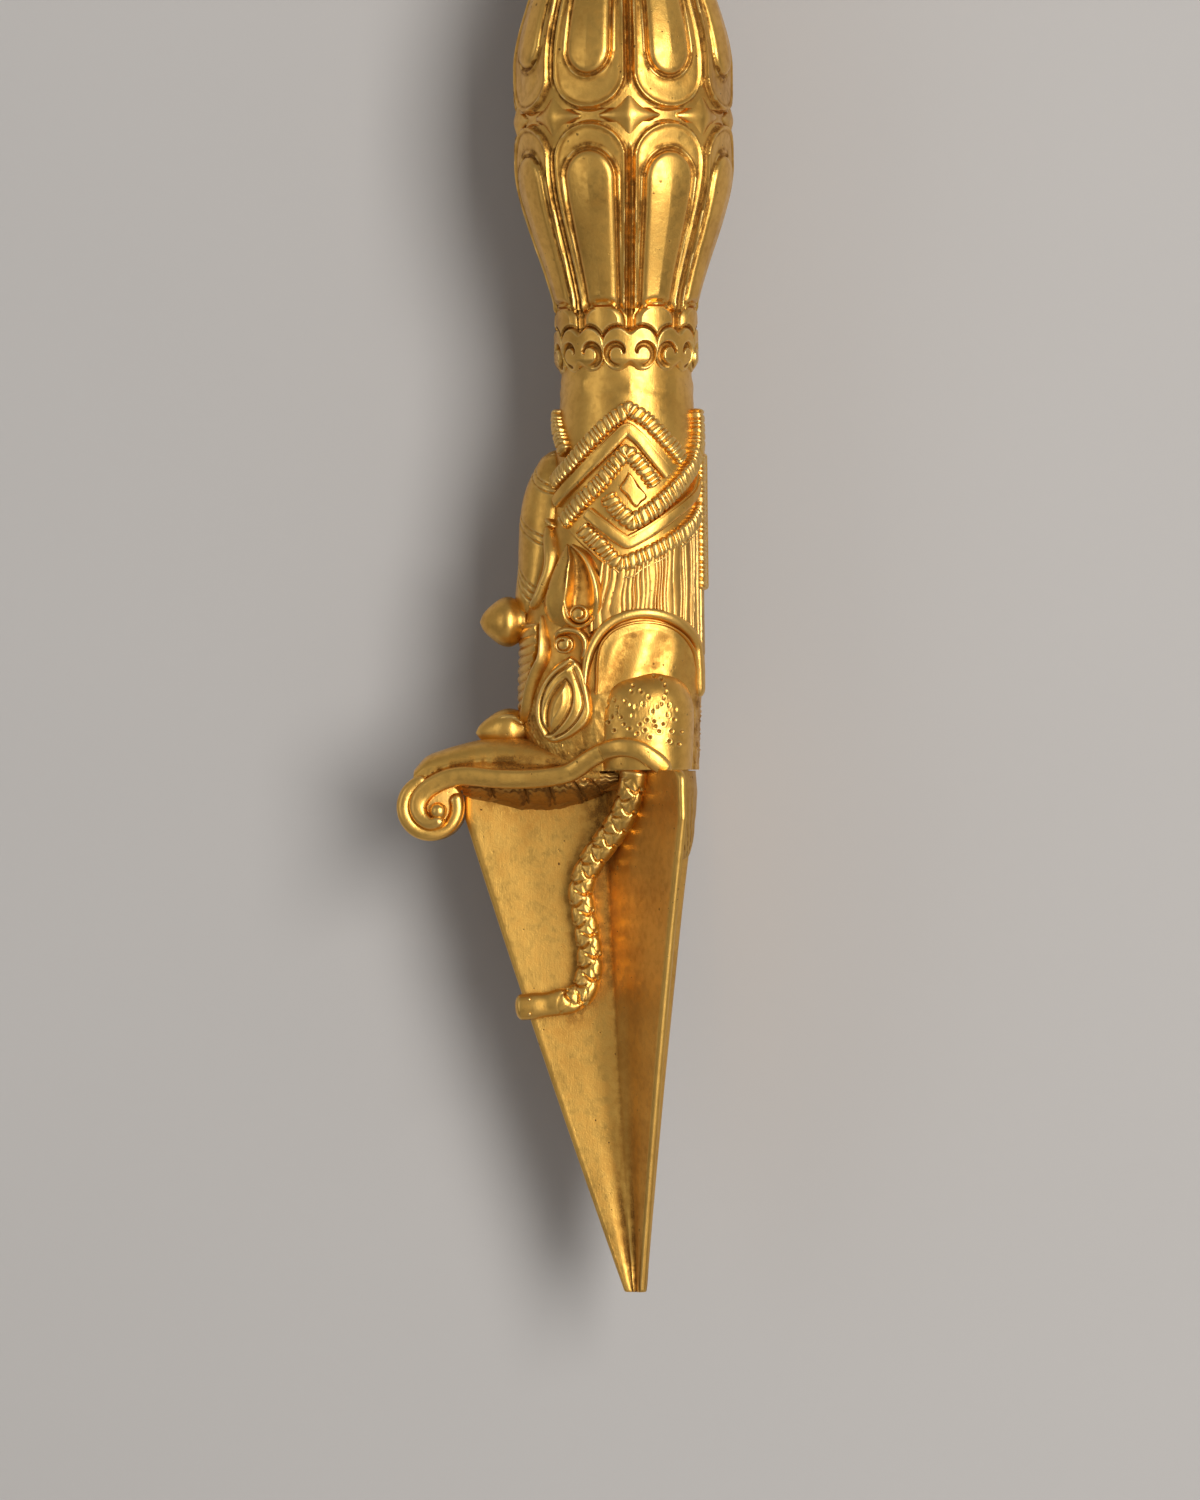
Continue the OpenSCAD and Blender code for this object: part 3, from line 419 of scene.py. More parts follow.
def skull_out(f, z):
    """The way out of the skull at an angle and a height."""
    n = np.cross(skull_at(f + 1.5, z) - skull_at(f - 1.5, z), skull_at(f, z + 0.4) - skull_at(f, z - 0.4))
    return n / np.maximum(np.linalg.norm(n, axis=-1, keepdims=True), 1e-9)


def angle_of(x, z):
    """The angle on the skull's left side at which it has the given x."""
    front, rear, power = skull_sizes(z, 1, 2, 4)
    u = np.clip((x - (rear - front) / 2) / ((front + rear) / 2), -0.999, 0.999)
    return np.degrees(np.arcsin(np.sign(u) * np.abs(u) ** (power / 2)))


def on_drum(f, depth, lift):
    """Points lifted off the skull, by angle and depth."""
    f, z = np.asarray(f, float), z_head - np.asarray(depth, float)
    return skull_at(f, z) + skull_out(f, z) * np.asarray(lift)[..., None]


def on_side(x, depth, lift):
    """Points lifted off the skull's left side, by x and depth."""
    return on_drum(angle_of(x, z_head - depth), depth, lift)


def skull_shape(u, v):
    f = u * 360
    depth = np.clip((v - skull_end) / (1 - 2 * skull_end), 0, 1) * head_len
    x = skull_at(f, z_head - depth)[:, 0]
    grit = np.sin(7.1 * x + 2.3 * np.sin(3.7 * depth)) * np.sin(6.3 * depth + 2.9 * np.sin(4.1 * x))
    grit = grit + 0.7 * np.sin(10.3 * x + 1.7 * depth) * np.sin(9.1 * depth - 2.2 * x)
    low = ease(depth, 40.4, 41.6) * ease(x, -6.4, -4.6)
    p = skull_at(f, z_head - depth, 0.5 * low + 0.1 * grit * ease(depth, 38, 44))
    bore = np.stack([bore_r * np.sin(np.radians(f)), -bore_r * np.cos(np.radians(f)), z_head - depth], -1)
    k = np.clip(np.where(v < skull_end, v, 1 - v) / skull_end, 0, 1)[:, None]
    return bore + (p - bore) * k


bm = bmesh.new()
sheet(bm, skull_around, skull_along, skull_shape)
# the lower part of the head gets a deeper, darker tone
cast(bm, "skull", bright_gilt, grime_and_shade=lambda x, y, z: 0.13 * ease(z_head - z, 22, 32))

# The snout: the upper jaw drawn out forward, round above and flat below, that ends as a rolled
# cylinder. A thin line chased above the lip follows it all the way.
snout_reach, scroll_r, snout_half, skull_half, snout_rows, ring_r = 32.8, 4.8, 4.6, 9.8, 200, 3.72
scroll_x, scroll_z = scroll_r - snout_reach, z_jaw - scroll_r + 2.6
snout_tops = flow([[-4, 5.0], [-6, 5.6], [-10, 6.4], [-14, 7.2], [-17, 7.3], [-20.5, 7.2], [-23.5, 6.6],
                   [-26, 5.9], [-28.6, 4.9], [-30.4, 3.0]], snout_rows)


def snout_side(x):
    """The snout's half width."""
    return np.interp(x, [-snout_reach, -snout_reach + scroll_r, -18.5, -12, -7],
                     [snout_half - 0.4, snout_half, snout_half + 1.2, skull_half - 2.2, skull_half - 1.4])


def snout_shape(u, v):
    x, top = snout_tops[nth(v, snout_rows)].T
    c, s = np.cos(2 * pi * u), np.sin(2 * pi * u)
    y = snout_side(x) * np.sign(c) * np.abs(c) ** 0.7
    z = z_jaw + top / 2 * (1 + np.sign(s) * np.abs(s) ** 0.75)
    # a thin raised line runs along the jaw above the lip, with a hollow band under it
    crease = np.interp(x, [-29.8, -28.6, -26.9, -24.5, -20.4, -16.3, -11.8, -7],
                       [-93.5, -91.9, -90.9, -90.2, -89.8, -90.0, -90.4, -90.6])
    y = y * (1 + 0.035 * bell(z - crease, 0.17) - 0.05 * ease(crease - z, 0.1, 0.6))
    close = np.where((v < 0.003) | (v > 0.997), 0, 1)
    return np.column_stack([x, y * close, z_jaw + top / 2 + (z - z_jaw - top / 2) * close])


bm = bmesh.new()
sheet(bm, 120, snout_rows - 1, snout_shape)
roll = bmesh.ops.create_cone(bm, cap_ends=True, segments=72, radius1=scroll_r - 0.15, radius2=scroll_r - 0.15,
                             depth=2 * snout_half - 0.9)["verts"]
bmesh.ops.rotate(bm, verts=roll, cent=(0, 0, 0), matrix=Matrix.Rotation(pi / 2, 3, "X"))
bmesh.ops.translate(bm, vec=(scroll_x, 0, scroll_z), verts=roll)
rolled = set(roll)
edge = [e for e in bm.edges if all(v in rolled for v in e.verts) and len(e.link_faces) == 2
        and e.calc_face_angle(0) > 1]
bmesh.ops.bevel(bm, geom=edge, offset=0.5, segments=3, profile=0.5, affect="EDGES", material=-1)
turn = np.radians(np.linspace(5, 300, 220))
for side in (-1, 1):
    ring = np.column_stack([scroll_x - ring_r * np.sin(turn), np.full(220, side * (snout_half - 0.45)),
                            scroll_z + ring_r * np.cos(turn)])
    tube(bm, ring, [0, side, 0.0], 1.02, 1.0, 28, None, 1.0, 2.3)
# the snout gets darker towards the face
cast(bm, "snout", bright_gilt, grime_and_shade=lambda x, y, z: 0.13 * ease(x, -29, -24) + 0.1 * ease(x, -20, -14))

# The lips: a smooth band on each side, soldered along the mouth's edge. It climbs over the mouth's
# corner and runs forward to roll up as the spiral on the snout's end.
lip_way = [[5.6, -91.6], [4.4, -90.6], [3.1, -89.6], [1.5, -88.6], [-0.7, -88.15], [-3.1, -88.6],
           [-5.5, -89.8], [-6.9, -90.8], [-8.6, -91.7], [-11.4, -92.2], [-14.6, -92.4], [-18.4, -92.3],
           [-22.6, -91.9], [-24.9, -92.1], [-26.8, -92.8], [-28.4, -93.8], [-29.4, -95.0], [-29.7, -96.3],
           [-29.2, -97.6], [-28.1, -98.4], [-26.9, -98.2], [-26.2, -97.5]]
cheek_x, cheek_r = 1.95, 7.2
cheek_y = skull_half - cheek_r + 2.35


def pair(names, build, metal, grime_and_shade=None):
    """Casts a left piece that build(bm) models and its mirrored right one."""
    for name, side in zip(names, (1, -1)):
        bm = bmesh.new()
        build(bm)
        bmesh.ops.scale(bm, vec=(1, side, 1), verts=bm.verts)
        cast(bm, name, metal, grime_and_shade)


def lip_side(x):
    """How far out the lip lies: beside the snout, and over the cheek farther back."""
    snout_x, cheek_xs = np.array([-30, -24, -18, -14, -10.6, -8]), np.arange(-3.4, 6.7, 0.8)
    over = cheek_y + np.sqrt(np.maximum(0, cheek_r ** 2 - (cheek_xs - cheek_x) ** 2))
    return np.interp(x, np.r_[snout_x, -5, cheek_xs], np.r_[snout_side(snout_x), skull_half - 0.3, over])


def lip(bm):
    rows = 420
    way = flow(lip_way, rows)
    s = np.linspace(0, 1, rows)
    inner = ease(s, 0.84, 1.0)
    way = np.column_stack([way[:, 0], -(lip_side(way[:, 0]) + 0.1) - 0.35 * inner, way[:, 1]])
    for k in range(6):
        way[1:-1, 1] = (way[:-2, 1] + way[2:, 1]) / 2
    w = 1.36 * (1 - 0.42 * inner) * (0.75 + 0.25 * ease(s, 0, 0.05))
    tube(bm, way, [0, -1.0, 0], w, 1.25, 28, None, 1.0, 2.9)
    lip_at = way[:, [0, 2]][way[:, 0] > -6.5]
    lip_at = lip_at[np.argsort(lip_at[:, 0])]

    def corner(u, v):
        """The folded skin in the mouth's corner, under the lip."""
        x = -6.2 + 10.4 * u
        top = np.interp(x, lip_at[:, 0], lip_at[:, 1])
        out = 0.5 - lip_side(x)
        fold = 0.22 * np.abs(np.sin(9 * v + 3.5 * x)) + 0.18 * np.sin(5.1 * x + 3 * v)
        y = out + (-4.3 - out) * v ** 1.2 + fold * ease(v, 0.05, 0.3)
        return np.column_stack([x, y, top - (top + 94.2) * v ** 0.8])

    sheet(bm, 90, 26, corner)
    ball = bmesh.ops.create_icosphere(bm, subdivisions=4, radius=1.25)["verts"]
    bmesh.ops.translate(bm, vec=(-26.85, -snout_half - 0.6, -96.75), verts=ball)


pair(("lip_left", "lip_right"), lip, bright_gilt)

# The gums: the roof of the open mouth on each side, hollowed from the lip down to the fin, cut
# with upright lines for the teeth and scratched between them. The gilding here is thin and dark.
old_gilt = gilt("dark_gilding", (0.60, 0.335, 0.08), (0.28, 0.12, 0.022), (0.76, 0.49, 0.17), 1.35, 0.42, 1.3)
gum_foot = np.array([[-23.6, 0.6], [-22.4, 1.1], [-19.2, 1.7], [-15.6, 2.7], [-10.7, 2.9], [-6.6, 2.4],
                     [-3.2, 1.0], [-1.6, 0.2]])
teeth = ((-20.4, 0.9), (-15.5, 0.7), (-12.2, 1.2), (-8.6, 2.2), (-6.4, 2.9))


def gum(bm):
    def shape(u, v):
        x = -23.6 + 22 * u
        foot = z_jaw - np.interp(x, gum_foot[:, 0], gum_foot[:, 1])
        y0, y1 = 0.5 - snout_side(np.minimum(-8, x)), -0.75
        z = z_mouth - 0.4 + (foot - z_mouth + 0.4) * v
        y = y0 + (y1 - y0) * ease(v, 0.3, 1.0) ** 1.4
        cut = 0
        for tooth, lean in teeth:
            bow = x - tooth - lean * v - 0.5 * np.sin(pi * v)
            cut = cut + 0.42 * bell(bow, 0.14) - 0.14 * bell(bow + 0.6, 0.5)
        line = 0.13 * np.abs(np.sin(v * 17 + 1.2 * np.sin(x * 1.1) + 0.5 * np.sin(x * 5.3))) ** 2.5
        return np.column_stack([x, y + (cut + line) * ease(v, 0.02, 0.2), z + 0.25 * cut])

    sheet(bm, 260, 70, shape)


pair(("gum_left", "gum_right"), gum, old_gilt)

# The two buds on the face: the jewel of the forehead and the tip of the nose, each a drop turned
# forward with a soft point.


def bud(bm, at, size, length, tilt):
    row = flow([[0, 0], [size * 0.72, 0], [size * 0.8, length * 0.14], [size, length * 0.36],
                [size * 0.93, length * 0.56], [size * 0.66, length * 0.76], [size * 0.34, length * 0.92],
                [0, length]], 40)

    def shape(u, v):
        (r, x), t = row[nth(v, 40)].T, 2 * pi * u
        return np.column_stack([-x, r * np.cos(t), r * np.sin(t)])

    made = sheet(bm, 48, 39, shape)
    bmesh.ops.rotate(bm, verts=made, cent=(0, 0, 0), matrix=Matrix.Rotation(tilt, 3, "Y"))
    bmesh.ops.translate(bm, vec=at, verts=made)


bm = bmesh.new()
bud(bm, (-14.3, 0, z_head - 31), 3.5, 6.7, 0)
cast(bm, "forehead_bud", bright_gilt)
bm = bmesh.new()
bud(bm, (-13.8, 0, z_mouth + 6.3), 2.9, 8.0, radians(-6))
for side in (-1, 1):
    fold = flow([[-20.2, 0.4, -85.8], [-18.4, 1.5, -84.2], [-16.4, 2.1, -83.9], [-14.8, 2.0, -84.9]], 60)
    tube(bm, fold * [1, side, 1], [0, side, 0.6], 0.5, 0.6, 16, None, 0.8)
cast(bm, "nose_bud", bright_gilt)

# The forelock: a lock of hair down the middle of the forehead, combed with slanting double lines,
# between two wavy ridges.


def slanted(s, t):
    """Pairs of fine cuts that slope down to both sides from the middle of the lock."""
    cuts = (2.2, 3.2, 9.4, 10.5, 16.6, 17.5, 18.5)
    return sum(-0.26 * bell(s - 3.0 * np.abs(np.cos(t)) - at, 0.12) for at in cuts)


def ridge(bm, row, width, height, count=100, lift=0.0, around=16, ends=1.0, square=2.0):
    """A cord laid on the skull's left side through [x, depth] points; width and height may vary along it."""
    x, depth = flow(row, count).T
    s = np.linspace(0, 1, count)
    w, h = (np.interp(s, np.linspace(0, 1, np.size(size)), np.atleast_1d(size)) for size in (width, height))
    out = skull_out(angle_of(x, z_head - depth), z_head - depth)
    return tube(bm, on_side(x, depth, lift), out, w, h, around, None, ends, square)


bm = bmesh.new()
# each row: depth, half width, height
lock = flow([[7, 1.6, 1.4], [9.5, 3.2, 2.8], [13, 4.2, 4.0], [17, 4.6, 4.3], [21, 4.6, 3.9], [25, 4.2, 3.2],
             [28.4, 3.3, 2.4], [31, 2.2, 1.4]], 200)
face = skull_at(np.full(200, -90.0), z_head - lock[:, 0])
tube(bm, face + [0.3, 0, 0], [-1.0, 0, 0], lock[:, 1], lock[:, 2], 90, slanted, 1.6, 1.8)
for side in (1, -1):
    for row, w, h in (([[-9.9, 7.6], [-10.3, 8.9], [-10.8, 10.5], [-11.3, 12.1], [-11.4, 13.6], [-11.1, 15.2],
                        [-10.5, 16.9], [-10.0, 18.0]],
                       [0.3, 0.5, 0.55, 0.5, 0.6, 0.6, 0.4], [0.9, 1.25, 1.3, 1.2, 1.35, 1.4, 1.1]),
                      ([[-10.6, 17.6], [-10.4, 20.0], [-10.25, 22.4], [-10.6, 24.4], [-11.4, 26.3],
                        [-12.4, 28.2], [-13.3, 29.4]],
                       [0.5, 0.9, 1.0, 0.95, 0.8, 0.65, 0.4], [1.0, 1.5, 1.55, 1.5, 1.4, 1.2, 0.9])):
        made = ridge(bm, row, w, h, 150, 0.0, 24)
        bmesh.ops.scale(bm, vec=(1, side, 1), verts=made)
cast(bm, "forelock", bright_gilt)

# The brows: a leaf-shaped blade over each eye, with a comb of curved hatching between it and the
# ridge of the face.
sunk = -0.5


def let_in(lift, rim):
    """Brings the edge of an applied field down into the skull while rim goes from 1 to 0."""
    return np.where(rim < 1, sunk + (lift - sunk) * np.clip(rim, 0, 1), lift)


def brow(bm):
    ridge(bm, [[-11.85, 30.2], [-11.6, 32.3], [-11.4, 34.6], [-11.7, 36.4], [-12.6, 38.2], [-13.5, 40.6],
               [-14.2, 43.3], [-14.6, 45.0]],
          [0.15, 0.55, 0.8, 0.9, 0.9, 0.85, 0.8, 0.6], [0.5, 1.2, 1.7, 1.7, 1.5, 1.3, 1.1, 0.8],
          130, 0.0, 28, 0.6, 1.5)

    def comb(u, v):
        depth = 31 + 14.4 * v
        edge = np.interp(depth, [30, 34.5, 37.2, 40.3, 43.7, 46.6], [-12.3, -12.3, -13, -13.9, -14.6, -15])
        start = angle_of(edge, z_head - depth)
        lift = 0.4 + 0.28 * np.abs(np.sin(depth * 2.5 - 4.5 * u + 2.5 * u * u)) ** 0.7
        rim = np.minimum(np.minimum(v, 1 - v) / 0.04, u / 0.04)
        return on_drum(start + (-89.0 - start) * u, depth, let_in(lift, rim))

    sheet(bm, 60, 190, comb)


pair(("brow_left", "brow_right"), brow, bright_gilt)

# The eyes: a drop-shaped lid edged with two thin lines, an almond eyeball in it, and a curl that
# springs over it.
eye_edge = [[-7.8, 35.9], [-9.5, 36.9], [-10.95, 38.45], [-12.0, 40.3], [-12.6, 42.5], [-12.5, 44.95],
            [-11.6, 47.0], [-10.3, 48.0], [-8.0, 47.3], [-5.9, 45.8], [-5.0, 44.2], [-5.0, 42.4],
            [-5.5, 39.8], [-6.4, 37.3]]
lid_line = flow([[-7.6, 36.8], [-8.3, 37.5], [-9.7, 38.6], [-10.9, 40.3], [-11.6, 42.5], [-11.6, 44.8],
                 [-10.9, 46.6]], 40)
ball_line = flow([[-8.3, 39.3], [-9.5, 40.5], [-10.5, 42.3], [-10.9, 44.6], [-10.6, 46.6], [-9.3, 45.6],
                  [-8.1, 43.8], [-7.6, 42.0], [-7.7, 40.4], [-8.3, 39.3]], 60)
fold_line = flow([[-7.3, 37.9], [-6.5, 40.3], [-6.1, 42.6], [-6.8, 44.6], [-8.4, 46.3], [-9.9, 47.1]], 40)


def boss(bm, outline, relief, rings, around, centre=None):
    """A raised field on the skull's left side inside a closed outline, relief(x, depth, inset) high."""
    line = flow(list(outline) + [outline[0]], 240)
    mid = line.mean(0) if centre is None else np.array(centre, float)
    turn = np.arctan2(line[:, 1] - mid[1], line[:, 0] - mid[0])
    order = np.argsort(turn)
    turn, far = turn[order], np.hypot(*(line - mid).T)[order]

    def shape(u, v):
        t = -pi + 2 * pi * u
        reach = np.interp(t, turn, far, period=2 * pi)
        x, d = mid[0] + reach * v * np.cos(t), mid[1] + reach * v * np.sin(t)
        return on_side(x, d, np.where(v > 0.999, sunk, relief(x, d, reach * (1 - v))))

    sheet(bm, around, rings, shape)


def away(x, y, line):
    """Distance of points from a broken line."""
    a, d = line[:-1], np.diff(line, axis=0)
    px, py = x[:, None] - a[None, :, 0], y[:, None] - a[None, :, 1]
    t = np.clip((px * d[:, 0] + py * d[:, 1]) / (d ** 2).sum(1), 0, 1)
    return np.hypot(px - t * d[:, 0], py - t * d[:, 1]).min(1)


def within(x, y, line):
    """True for the points inside a closed line."""
    a, b = line[:-1], line[1:]
    over = (a[:, 1] > y[:, None]) != (b[:, 1] > y[:, None])
    rise = np.where(b[:, 1] == a[:, 1], 1e-9, b[:, 1] - a[:, 1])
    cross = a[:, 0] + (y[:, None] - a[:, 1]) * (b[:, 0] - a[:, 0]) / rise
    return (over & (x[:, None] < cross)).sum(1) % 2 == 1


def eye_relief(x, d, inset):
    lift = 1.15 * np.sqrt(np.clip(1 - (1 - np.clip(inset / 0.7, 0, 1)) ** 2, 0, 1))
    lift = lift + 0.4 * ease(inset, 0.6, 2.6)
    lid = away(x, d, lid_line)
    lift -= 0.34 * bell(lid, 0.17) - 0.10 * bell(lid - 0.4, 0.2)
    lift -= 0.26 * bell(away(x, d, fold_line), 0.16)
    rim = away(x, d, ball_line)
    ball = lift - 0.42 + 0.75 * ease(rim, 0.0, 1.15) ** 0.8
    return np.where(within(x, d, ball_line), ball, lift - 0.42 * bell(rim, 0.24))


def curl(bm, x0, d0, lift, start):
    """A small rolled-up knob: a domed disc with a spiral groove that opens at the angle start."""
    r = 1.3

    def relief(x, d, inset):
        far, way = np.hypot(x - x0, d - d0), (np.degrees(np.arctan2(d - d0, x - x0)) - start) % 360
        groove = bell(far - r * (0.74 - 0.3 * way / 360), 0.13) * ease(way, 0, 40) * ease(-way, -350, -300)
        return lift + 0.8 * np.sqrt(np.clip(1 - (far / r) ** 2, 0, 1)) - 0.42 * groove

    circle = [[x0 + r * cos(radians(a)), d0 + r * sin(radians(a))] for a in range(0, 360, 20)]
    boss(bm, circle, relief, 26, 84, (x0, d0))


def eye(bm):
    boss(bm, eye_edge, eye_relief, 90, 230, (-9.0, 42.9))
    ridge(bm, [[-9.9, 33.9], [-9.6, 33.1], [-8.9, 32.6], [-7.8, 32.35], [-6.5, 32.8], [-5.75, 34.0],
               [-5.9, 35.6], [-6.5, 36.6]],
          [0.35, 0.6, 0.68, 0.66, 0.55, 0.4], [0.9, 1.6, 1.75, 1.65, 1.5, 0.9], 120, 0.0, 20)
    curl(bm, -8.6, 34.4, 0.75, -40)


pair(("eye_left", "eye_right"), eye, bright_gilt)

# The ears: a two-lobed leaf behind each eye, hollowed between two bright ridges, the front one
# ending in a small spiral.


def quilt(bm, rails, across, along):
    """A skin over rails of [x, depth, lift] points on the skull's left side, with its edge sunk in it."""
    rows = np.array([flow(r, along + 1) for r in rails])
    cols = np.array([flow(rows[:, k], across + 1) for k in range(along + 1)])

    def shape(u, v):
        x, depth, lift = cols[nth(v, along + 1), nth(u, across + 1)].T
        rim = np.clip(np.minimum(np.minimum(u, 1 - u) * across, np.minimum(v, 1 - v) * along), 0, 1)
        return on_side(x, depth, np.where(rim < 1, sunk, lift))

    sheet(bm, across, along, shape)


ear_rails = [
    [[-8.2, 20.2, 0.1], [-8.95, 22, 0.2], [-9.9, 24.2, 0.2], [-10.75, 26.4, 0.2], [-11.6, 28.2, 0.2],
     [-11.6, 29.8, 0.1]],
    [[-8.1, 20.4, 0.4], [-8.6, 22.1, 1], [-9.4, 24.3, 1.25], [-10.1, 26.5, 1.35], [-10.7, 28.8, 1.1],
     [-10.6, 31.2, 0.3]],
    [[-8, 20.5, 0.5], [-8.1, 22.3, 1.35], [-8.6, 24.5, 1.6], [-9.1, 26.7, 1.7], [-9.6, 29.2, 1.3],
     [-9.4, 32, 0.4]],
    [[-7.9, 20.6, 0.5], [-7.4, 22.6, 1.5], [-7.7, 24.7, 1.75], [-8, 26.7, 1.9], [-8.3, 29, 1.9],
     [-8.3, 32.4, 0.5]],
    [[-7.85, 20.6, 0.5], [-7.2, 22.6, 1.7], [-7.4, 24.7, 2], [-7.65, 26.7, 2.1], [-7.95, 29, 2],
     [-7.6, 32.4, 0.5]],
    [[-7.75, 20.7, 0.4], [-6.9, 22.6, 0.7], [-6.8, 24.6, 0.5], [-6.9, 26.8, 0.4], [-7.2, 29, 0.4],
     [-6.9, 32.2, 0.3]],
    [[-7.7, 20.6, 0.4], [-6.3, 22.4, 0.7], [-5.6, 24.3, 0.7], [-5.3, 26.3, 0.7], [-5.4, 28.5, 0.7],
     [-5.8, 31.8, 0.3]],
    [[-7.65, 20.5, 0.4], [-5.8, 22.1, 1.6], [-4.9, 24, 1.9], [-4.4, 26.1, 1.95], [-4.2, 28.4, 1.85],
     [-4.6, 31.2, 0.5]],
    [[-7.6, 20.4, 0.4], [-5.6, 21.8, 1.3], [-4.5, 23.7, 1.55], [-3.85, 25.9, 1.6], [-3.65, 28.4, 1.5],
     [-4, 30.9, 0.4]],
    [[-7.5, 20.3, 0.1], [-5.45, 21.5, 0.2], [-4.2, 23.4, 0.2], [-3.5, 25.7, 0.2], [-3.25, 28.4, 0.2],
     [-3.6, 30.5, 0.1]]]


def ear(bm):
    quilt(bm, ear_rails, 100, 120)
    ridge(bm, [[-8.1, 28], [-8.3, 29.6], [-8.1, 30.8], [-7.3, 31.7], [-6.2, 31.9], [-5.1, 31.2], [-4.7, 30.1]],
          [0.3, 0.5, 0.5, 0.4, 0.25], [1.7, 1.9, 1.8, 1.5, 1.0], 110, 0.1, 20)
    curl(bm, -6.4, 30.2, 1.1, 150)


pair(("ear_left", "ear_right"), ear, bright_gilt)

# The cheeks: a full dome over each corner of the mouth, cast with the head's ornaments and punched
# all over with small round dots.
cheek_rise, cheek_power = 14.6, 2.3
dots = [(3.6, 38.9), (4.6, 39.3), (5.1, 40.2), (5.3, 41.2), (5.0, 42.0), (4.7, 42.8), (5.7, 43.0),
        (0.7, 40.2), (0.5, 41.0), (1.8, 41.0), (2.9, 41.8), (-1.5, 43.2), (-1.9, 42.2), (0.4, 42.9),
        (1.1, 43.2), (2.1, 42.8), (3.4, 43.8), (4.1, 43.2), (5.5, 44.4), (3.6, 45.2), (2.6, 45.0),
        (-0.4, 42.3), (-1.0, 44.6), (0.6, 44.4), (-2.3, 44.6), (-2.8, 45.3), (-2.9, 42.9), (0.1, 46.2),
        (4.9, 45.6), (6.4, 45.0), (7.4, 46.7), (5.7, 48.0), (3.8, 45.9), (4.3, 46.6), (1.6, 45.6),
        (2.3, 46.4), (-1.6, 44.0), (-0.6, 45.6), (6.6, 43.6), (1.2, 46.9), (-2.0, 46.4), (3.0, 47.4),
        (7.0, 48.4), (6.0, 46.6)]


def cheek(bm):
    top = z_mouth + cheek_rise - cheek_r
    # height and part of the radius: up the wall, then over the dome
    column = [[z_mouth + 0.05, 0.0]]
    column += [[z_mouth + 0.05 + (top - z_mouth) * r, 0.93 + 0.07 * r ** 0.5] for r in np.linspace(0, 1, 70)]
    column += [[top + cheek_r * sin(a) ** 0.84, cos(a) ** 0.84] for a in np.linspace(0, 1, 60)[1:] * pi / 2]
    column = np.array(column)

    def shape(u, v):
        (z, r), t = column[nth(v, len(column))].T, 2 * pi * u
        square = (np.abs(np.cos(t)) ** cheek_power + np.abs(np.sin(t)) ** cheek_power) ** (-1 / cheek_power)
        reach = 0.98 * r * cheek_r * square
        x, y = cheek_x + reach * np.cos(t), -cheek_y + reach * np.sin(t)
        cut = np.zeros_like(x)
        for dx, dd in dots:
            far = np.hypot(x - dx, z - (z_head - dd))
            cut += (0.05 * bell(far - 0.36, 0.1) - 0.22 * np.exp(-(far / 0.21) ** 4)) * (y < -cheek_y)
        n = np.column_stack([x - cheek_x, y + cheek_y, np.maximum(0, z - top)])
        n /= np.maximum(np.linalg.norm(n, axis=1), 1e-6)[:, None]
        return np.column_stack([x, y, z]) + n * cut[:, None]

    sheet(bm, 330, len(column) - 1, shape)


pair(("cheek_left", "cheek_right"), cheek, bright_gilt)

# The arches: a rounded rim bent over each cheek like a hood, with a smooth field inside it and a
# fine bead along the field's edge, all applied to the skull.
arch_field = [[-4.5, 41.6], [-4.3, 39.4], [-4.2, 36.7], [-3.6, 34.3], [-1.9, 32.5], [0.4, 31.6], [2.6, 31.4],
              [5.2, 31.9], [7.2, 33.2], [8.5, 35.2], [9.0, 37.5], [9.2, 42]]


def arch(bm):
    ridge(bm, [[-5.9, 41], [-5.85, 38.6], [-5.6, 36.5], [-4.9, 34.5], [-3.5, 32.4], [-1.2, 30.8], [2, 30.1],
               [5.1, 30.6], [7.5, 32.0], [8.9, 34.0], [9.2, 36.8], [9.25, 42]],
          [0.3, 0.8, 0.85, 0.85, 0.85, 0.85, 0.8, 0.7], 1.2, 220, 0.0, 24, 1.5, 2.3)
    ridge(bm, arch_field, 0.24, 0.85, 200, 0.0, 14)
    boss(bm, arch_field, lambda x, d, inset: 0.5 + 0.12 * np.sin(1.3 * x + 0.5 * d) * ease(inset, 0.3, 2.0)
         - 0.1 * ease(inset, 0.0, 1.2), 30, 140)


# the arch gets darker over the cheek's dome
pair(("arch_left", "arch_right"), arch, bright_gilt,
     grime_and_shade=lambda x, y, z: 0.12 * (np.hypot(x - 2.6, np.minimum(0, z_head - 39 - z)) < 6.6))

# The mane: hair combed straight down round the back of the head, from the knots to the arches,
# cut with a graver into strands of uneven width.
strands = 64
rng = np.random.default_rng(7)
strand_w = rng.uniform(0.32, 0.75, strands) * np.where(rng.random(strands) < 0.2, 1.9, 1)
strand_cut = rng.uniform(0.2, 0.36, strands)
strand_lift = rng.uniform(-0.1, 0.14, strands)
strand_at = np.r_[0, np.cumsum(strand_w)]


